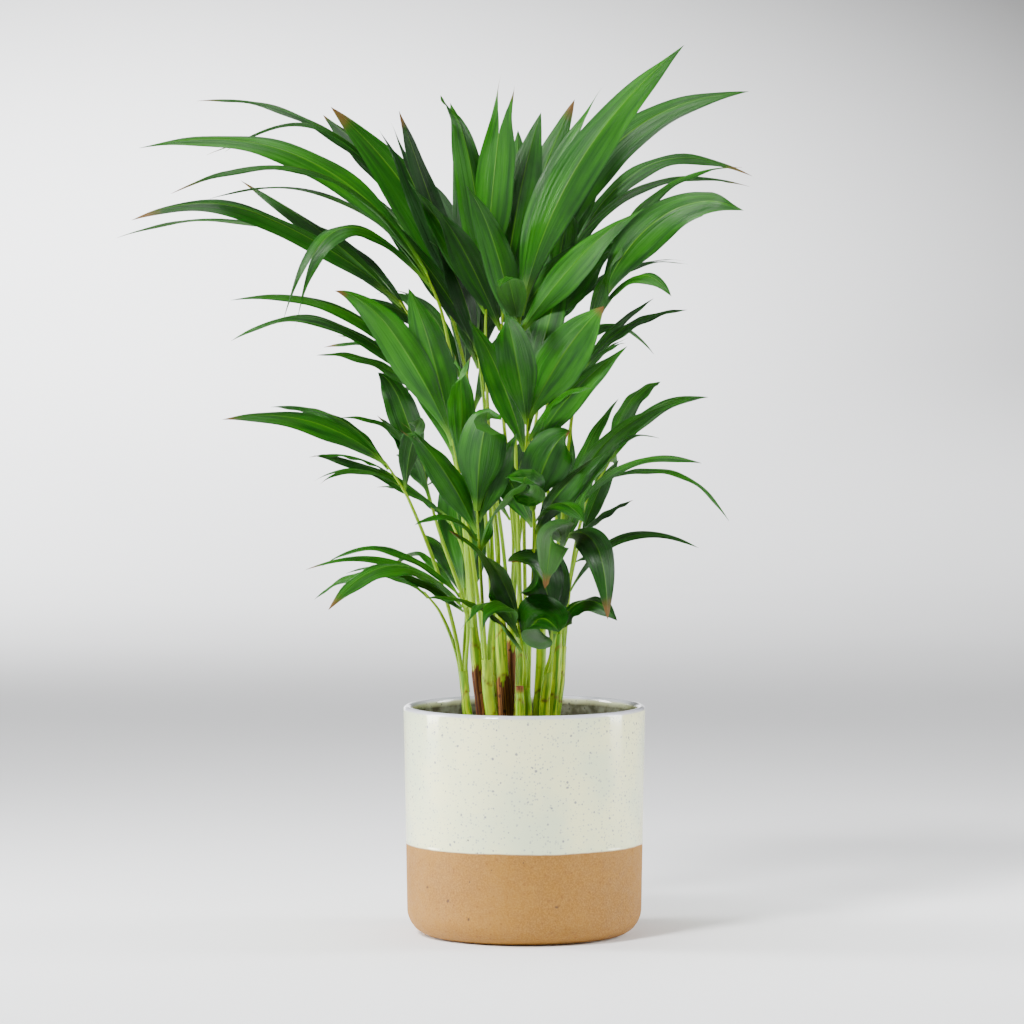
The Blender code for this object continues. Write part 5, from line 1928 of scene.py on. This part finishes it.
class BladeLook:
    """One leaflet: a thin folded blade with pleats, waving edges and its own way of ending."""

    rows = 34
    half_columns = 6
    parting = 0.74
    curl = 0.78
    droops = {Habit.DROOPING: 0.14, Habit.CURLED: 0.08, Habit.UPRIGHT: 0.0}

    def __init__(self, leaflet: Leaflet, habit: Habit, tint_and_light: float, breadth: float, lot: random.Random) -> None:
        """Takes the leaflet's line and draws its character.

        Args:
            leaflet: Its coarse line.
            habit: How it ends.
            tint_and_light: How light a green it is, 0 to 1, partly its own green and partly painted light.
            breadth: How broad it is, as a share of the drawing's width.
            lot: The source of its unevenness.
        """
        self.width = leaflet.width * breadth
        self.leaflet = leaflet
        self.habit = habit
        self.tint_and_light = tint_and_light
        self.seed = lot.random()
        self.fold = lot.uniform(0.16, 0.34)
        self.twist = lot.uniform(-16, 16)
        self.wave = lot.uniform(0.25, 0.8) * MM
        self.waves = lot.uniform(2.0, 4.5)
        self.phase = lot.uniform(0, math.tau)
        self.dry = 1.0 if habit is Habit.FRAYED or lot.random() < 0.3 else 0.0
        self.sway = lot.uniform(-1, 1) * min(0.022 * leaflet.length, 3 * MM)
        self.droop = self.droops.get(habit, lot.uniform(0.0, 0.03)) * leaflet.length

    def _line(self, share: float) -> Vector:
        """Finds a point of its middle line.

        Args:
            share: The share of its length, 0 to 1.

        Returns:
            The point, swaying aside and drooping at its end.
        """
        point = self.leaflet.point(share)
        along = (self.leaflet.tip - self.leaflet.base).normalized()
        aside = along.cross(UP)
        aside = aside.normalized() if aside.length > 0.05 else Vector((1, 0, 0))
        point = point + aside * self.sway * math.sin(math.pi * 2 * share) * share
        point = point - UP * self.droop * max(share - 0.55, 0) ** 2 / 0.2
        if self.habit is Habit.CURLED and share > self.curl:
            turn = (share - self.curl) / (1 - self.curl) * 2.4
            point += aside * 4 * MM * math.sin(turn) - along * 3 * MM * (1 - math.cos(turn))
        return point

    def _frame(self, share: float) -> tuple[Vector, Vector, Vector]:
        """Finds where it is and how it lies.

        Args:
            share: The share of its length, 0 to 1.

        Returns:
            The middle line's point, the way across and the upper face's way.
        """
        here = self._line(share)
        along = (self._line(min(share + 0.01, 1.0)) - self._line(max(share - 0.01, 0.0))).normalized()
        normal = self.leaflet.normal(share, along)
        normal = turned_about(normal, along, self.twist * share)
        return here, along.cross(normal), normal

    def add(self, sheet: Sheet) -> None:
        """Adds the blade: two halves that part at a split tip.

        Args:
            sheet: The frond's mesh.
        """
        for side in (-1, 1):
            upper = [self._row(sheet, k / self.rows, side, 0) for k in range(self.rows + 1)]
            lower = [self._row(sheet, k / self.rows, side, 1) for k in range(self.rows + 1)]
            sheet.grid(upper, flip=side < 0)
            sheet.grid(lower, flip=side > 0)
            for edge in (0, -1):
                pair = [[up[edge], low[edge]] for up, low in zip(upper, lower)]
                sheet.grid(pair, flip=(edge == 0) == (side > 0))
            sheet.grid([upper[0], lower[0]], flip=side > 0)

    def _row(self, sheet: Sheet, share: float, side: int, under: int) -> list[int]:
        """Adds a row of points across one half of one face.

        Args:
            sheet: The frond's mesh.
            share: Where along the blade.
            side: Which half, -1 or 1.
            under: 0 for the upper face, 1 for the lower.

        Returns:
            The points' numbers, from the middle out.
        """
        here, across, normal = self._frame(share)
        half = self.width * strap_width(share) / 2
        inner = 0.0
        if self.habit is Habit.SPLIT:
            kept = self.width * strap_width(self.parting) / 2
            parted = smooth(share, self.parting, 1.0)
            half += (kept * 0.75 - half) * parted
            inner = parted
        elif self.habit is Habit.FRAYED and share > 0.9:
            half *= 1 + 0.35 * math.sin(share * 260 + self.phase)
        fold = self.fold + 0.55 * (1 - smooth(share, 0.0, 0.3))
        thick = PALM.blade_thickness * (1 - 0.6 * share) / 2
        numbers = []
        for k in range(self.half_columns + 1):
            out = inner + (1 - inner) * k / self.half_columns
            reach = half * out
            pleat = 0.16 * MM * math.cos(out * math.tau * 2.5) * min(1.0, half / (4 * MM))
            ripple = self.wave * out**2 * math.sin(math.tau * self.waves * share + self.phase + side * 0.9)
            ripple *= smooth(share, 0.05, 0.3) * (1 - smooth(share, 0.85, 1.0))
            rib = 0.35 * MM * math.exp(-(reach / (0.7 * MM)) ** 2) * (1 - share)
            lift = -fold * reach + pleat + ripple + (rib if under else -rib * 0.3) * (-1 if under else 1)
            lift += (-1 if under else 1) * thick * (1 - 0.7 * out**4)
            point = here + across * (side * reach) + normal * lift
            numbers.append(sheet.add(point, across=side * out, along=share, tint_and_light=self.tint_and_light, stalk=0.0,
                                     under=float(under), seed=self.seed, dry=self.dry))
        return numbers


class FrondLook:
    """One leaf: its stalk, channelled above, and its leaflets."""

    around = 12
    petiole_steps = 30
    rachis_steps = 16
    spear_steps = (20, 24)

    def __init__(self, name: str, frond: Frond, growth: Growth, finish: Finish) -> None:
        """Builds the leaf.

        Args:
            name: Its node's name.
            frond: Its row of the drawing.
            growth: Where everything grows.
            finish: Its leaf.
        """
        self.name = name
        self.frond = frond
        self.lot = random.Random(name)
        self.tint_and_light = min(max(TINTS_AND_LIGHT.get(name, MIDDLING) + self.lot.uniform(-0.1, 0.1), 0.0), 1.0)
        self.seed = self.lot.random()
        self.stalk = growth.stalks[name]
        sheet = Sheet()
        self._stem(sheet)
        for turn in sorted(growth.leaflets.get(name, {})):
            leaflet = growth.leaflets[name][turn]
            lot = random.Random(f"{name} {turn}")
            BladeLook(leaflet, self._habit(turn), self._shade(), BREADTHS.get(name, 1.0), lot).add(sheet)
        made = sheet.build(f"{name}_leaf", finish, 55.0)
        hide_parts(name)

    def _habit(self, turn: int) -> Habit:
        """Finds how a leaflet ends.

        Args:
            turn: Its place in the list.

        Returns:
            The way it ends.
        """
        lot = self.lot.random()
        drawn = Habit.DROOPING if lot < 0.25 else Habit.SPLIT if lot < 0.33 else Habit.PLAIN
        return HABITS.get((self.name, turn), drawn)

    def _shade(self) -> float:
        """How light a green one of its leaflets is, taken from its frond's value, which is partly painted light."""
        return min(max(self.tint_and_light + self.lot.uniform(-0.16, 0.16), 0.0), 1.0)

    def _stem(self, sheet: Sheet) -> None:
        """Adds the petiole and the rachis, which thins to its end.

        Args:
            sheet: The frond's mesh.
        """
        stalk = self.stalk
        sunk = [stalk.start - stalk.axis * (9 * MM) * (1 - k / 3) for k in range(3)]
        low, high = (self.petiole_steps, self.rachis_steps) if self.frond.blades else self.spear_steps
        line = sunk + [stalk.petiole(k / low) for k in range(low)]
        line += [stalk.rachis(stalk.reach * k / high) for k in range(high + 1)]
        last = len(line) - 1
        radii, carried = [], []
        for k in range(last + 1):
            share = k / last
            radius = self._radius(share)
            row = []
            for angle in turns_of(self.around):
                channel = 1 - 0.16 * max(math.cos(angle - 1.2), 0) ** 3
                row.append(radius * channel * (1 + 0.03 * noise.noise(Vector((share * 30, self.seed * 20, angle)))))
            radii.append(row)
            carried.append([{"across": math.cos(angle), "along": share, "stalk": 1.0, "tint_and_light": self.tint_and_light,
                             "seed": self.seed} for angle in turns_of(self.around)])
        rows = rings_round(sheet, line, radii, carried)
        sheet.grid(rows, closed=True)
        sheet.cap(rows[0], sheet.add(line[0], stalk=1.0), flip=True)
        sheet.cap(rows[-1], sheet.add(line[-1] + (line[-1] - line[-2]).normalized() * 0.6 * MM, stalk=1.0,
                                      tint_and_light=self.tint_and_light, seed=self.seed, along=1.0))

    def _radius(self, share: float) -> float:
        """Finds the stem's radius.

        Args:
            share: The share of its length, 0 to 1.

        Returns:
            The radius there.
        """
        if self.frond.blades:
            return (PALM.petiole_radius + (PALM.end_radius - PALM.petiole_radius) * share**2) * 0.98
        return PALM.petiole_radius * (1.1 - 0.95 * share**3)


# How light each frond's green is, 0 to 1, and a spear's: partly the frond's own green, and partly painted light on
# fronds that face up where the light falls.
MIDDLING = 0.45
TINTS_AND_LIGHT = dict(zip(FRONDS, (
    0.25, 0.3, 0.35, 0.85, 0.45, 0.45, 0.4, 0.45, 0.45, 0.45, 0.45, 0.55, 0.5, 0.45, 0.25, 0.2, 0.6,
    0.4, 0.35, 0.3, 0.45, 0.3, 0.6, 0.3, 0.35, 0.5, 0.35, 0.3, 0.25, 0.35, 0.4, 0.4, 0.3)))

# How broad the leaflets of the low middle fronds are, as a share of the drawing's.
BREADTHS = {"frond_20": 1.9, "frond_29": 1.3, "frond_09": 1.15, "frond_19": 1.2, "frond_11": 1.2, "frond_18": 1.1}


class Palm:
    """The whole palm: canes, fronds, spear and the cut stub."""

    def __init__(self, wardrobe: Wardrobe) -> None:
        """Grows and builds it.

        Args:
            wardrobe: The finishes.
        """
        growth = Growth()
        for name, cane in growth.canes.items():
            CaneLook(name, cane, growth.sharing.get(name, 0), wardrobe.cane)
        for name, frond in {**FRONDS, **SPEARS}.items():
            FrondLook(name, frond, growth, wardrobe.leaf)


# The studio

@dataclass(frozen=True)
class Lamp:
    """A soft light: where it stands, where it looks, its size, power and how wide it spreads, in degrees."""

    name: str
    place: Triple
    target: Triple
    size: Pair
    power: float
    spread: float = 180.0


@dataclass(frozen=True)
class StudioSizes:
    """The paper sweep, the camera and the lights."""

    wide: float = 9.0
    front: float = -5.0
    back: float = 4.4
    bend: float = 1.2
    height: float = 5.0
    columns: int = 12
    bend_steps: int = 32
    camera: Triple = (-0.0077, -3.44, 0.455)
    target: Triple = (-0.0077, 0.0, 0.262)
    lens: float = 195.7
    sky: float = 0.2
    lamps: tuple[Lamp, ...] = (
        Lamp("key", (-1.3, -1.7, 2.2), (0.0, 0.0, 0.25), (0.5, 0.5), 142.0),
        Lamp("fill", (1.7, -2.0, 1.2), (0.0, 0.0, 0.3), (0.9, 1.4), 9.0),
        Lamp("left strip", (-1.1, 0.1, 0.4), (0.0, 0.0, 0.12), (0.35, 1.1), 12.0, 110.0),
        Lamp("right strip", (1.1, 0.1, 0.4), (0.0, 0.0, 0.12), (0.35, 1.1), 8.0, 110.0),
        Lamp("top", (-0.2, 0.2, 2.3), (0.0, 0.0, 0.2), (0.9, 0.9), 30.0),
        Lamp("wall", (-1.6, 2.2, 2.3), (-0.7, 4.4, 0.5), (1.4, 0.8), 142.0, 120.0),
    )


class Studio:
    """A pale sweep of paper, soft lights and the camera."""

    def __init__(self, sizes: StudioSizes, finish: Finish) -> None:
        """Builds it.

        Args:
            sizes: Its sizes.
            finish: Its paper.
        """
        self.sizes = sizes
        self._sweep(finish)
        for lamp in sizes.lamps:
            self._lamp(lamp)
        self._sky()
        self._camera()

    def _sweep(self, finish: Finish) -> None:
        """Adds the floor that bends up into the wall.

        Args:
            finish: Its paper.
        """
        sizes = self.sizes
        sheet = Sheet()
        outline = [(sizes.front, 0.0), (-1.0, 0.0), (0.0, 0.0), (sizes.back - sizes.bend, 0.0)]
        outline += arc((sizes.back - sizes.bend, sizes.bend), sizes.bend, -90, 0, sizes.bend_steps)[1:]
        outline.append((sizes.back, sizes.height))
        xs = [sizes.wide * (k / sizes.columns - 0.5) for k in range(sizes.columns + 1)]
        rows = [[sheet.add(Vector((x, y, z))) for x in xs] for y, z in outline]
        sheet.grid(rows)
        sheet.build("paper_sweep", finish, 80.0)

    @staticmethod
    def _aim(thing: bpy.types.Object, place: Sequence[float], target: Sequence[float]) -> None:
        """Stands a lamp or the camera at a place and turns it to its target.

        Args:
            thing: The lamp or camera.
            place: Where it stands.
            target: Where it looks.
        """
        thing.location = place
        way = Vector(target) - Vector(place)
        thing.rotation_euler = way.to_track_quat("-Z", "Y").to_euler()
        bpy.context.scene.collection.objects.link(thing)

    def _lamp(self, lamp: Lamp) -> None:
        """Adds a light.

        Args:
            lamp: The light.
        """
        light = bpy.data.lights.new(lamp.name, "AREA")
        light.shape = "RECTANGLE"
        light.size, light.size_y = lamp.size
        light.energy = lamp.power
        light.spread = math.radians(lamp.spread)
        self._aim(bpy.data.objects.new(lamp.name, light), lamp.place, lamp.target)

    def _sky(self) -> None:
        """Adds the room's even light."""
        world = bpy.data.worlds.new("room")
        world.use_nodes = True
        background = world.node_tree.nodes["Background"]
        background.inputs["Color"].default_value = (1.0, 1.0, 1.0, 1.0)
        background.inputs["Strength"].default_value = self.sizes.sky
        bpy.context.scene.world = world

    def _camera(self) -> None:
        """Adds the camera."""
        camera = bpy.data.cameras.new("camera")
        camera.lens = self.sizes.lens
        camera.sensor_width = 36
        camera.clip_start = 0.1
        camera.dof.use_dof = False
        made = bpy.data.objects.new("camera", camera)
        self._aim(made, self.sizes.camera, self.sizes.target)
        bpy.context.scene.camera = made


# The scene

def main() -> None:
    """Loads the frame, builds every piece and the studio, and finishes."""
    logging.basicConfig(level=logging.INFO, format="%(name)s %(message)s")
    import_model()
    wardrobe = Wardrobe()
    CachePot(POT, wardrobe.stoneware)
    NurseryPot(NURSERY, POT, wardrobe.plastic)
    Soil(NURSERY, wardrobe.soil)
    Palm(wardrobe)
    Studio(StudioSizes(), wardrobe.backdrop)


if __name__ == "__main__":
    main()
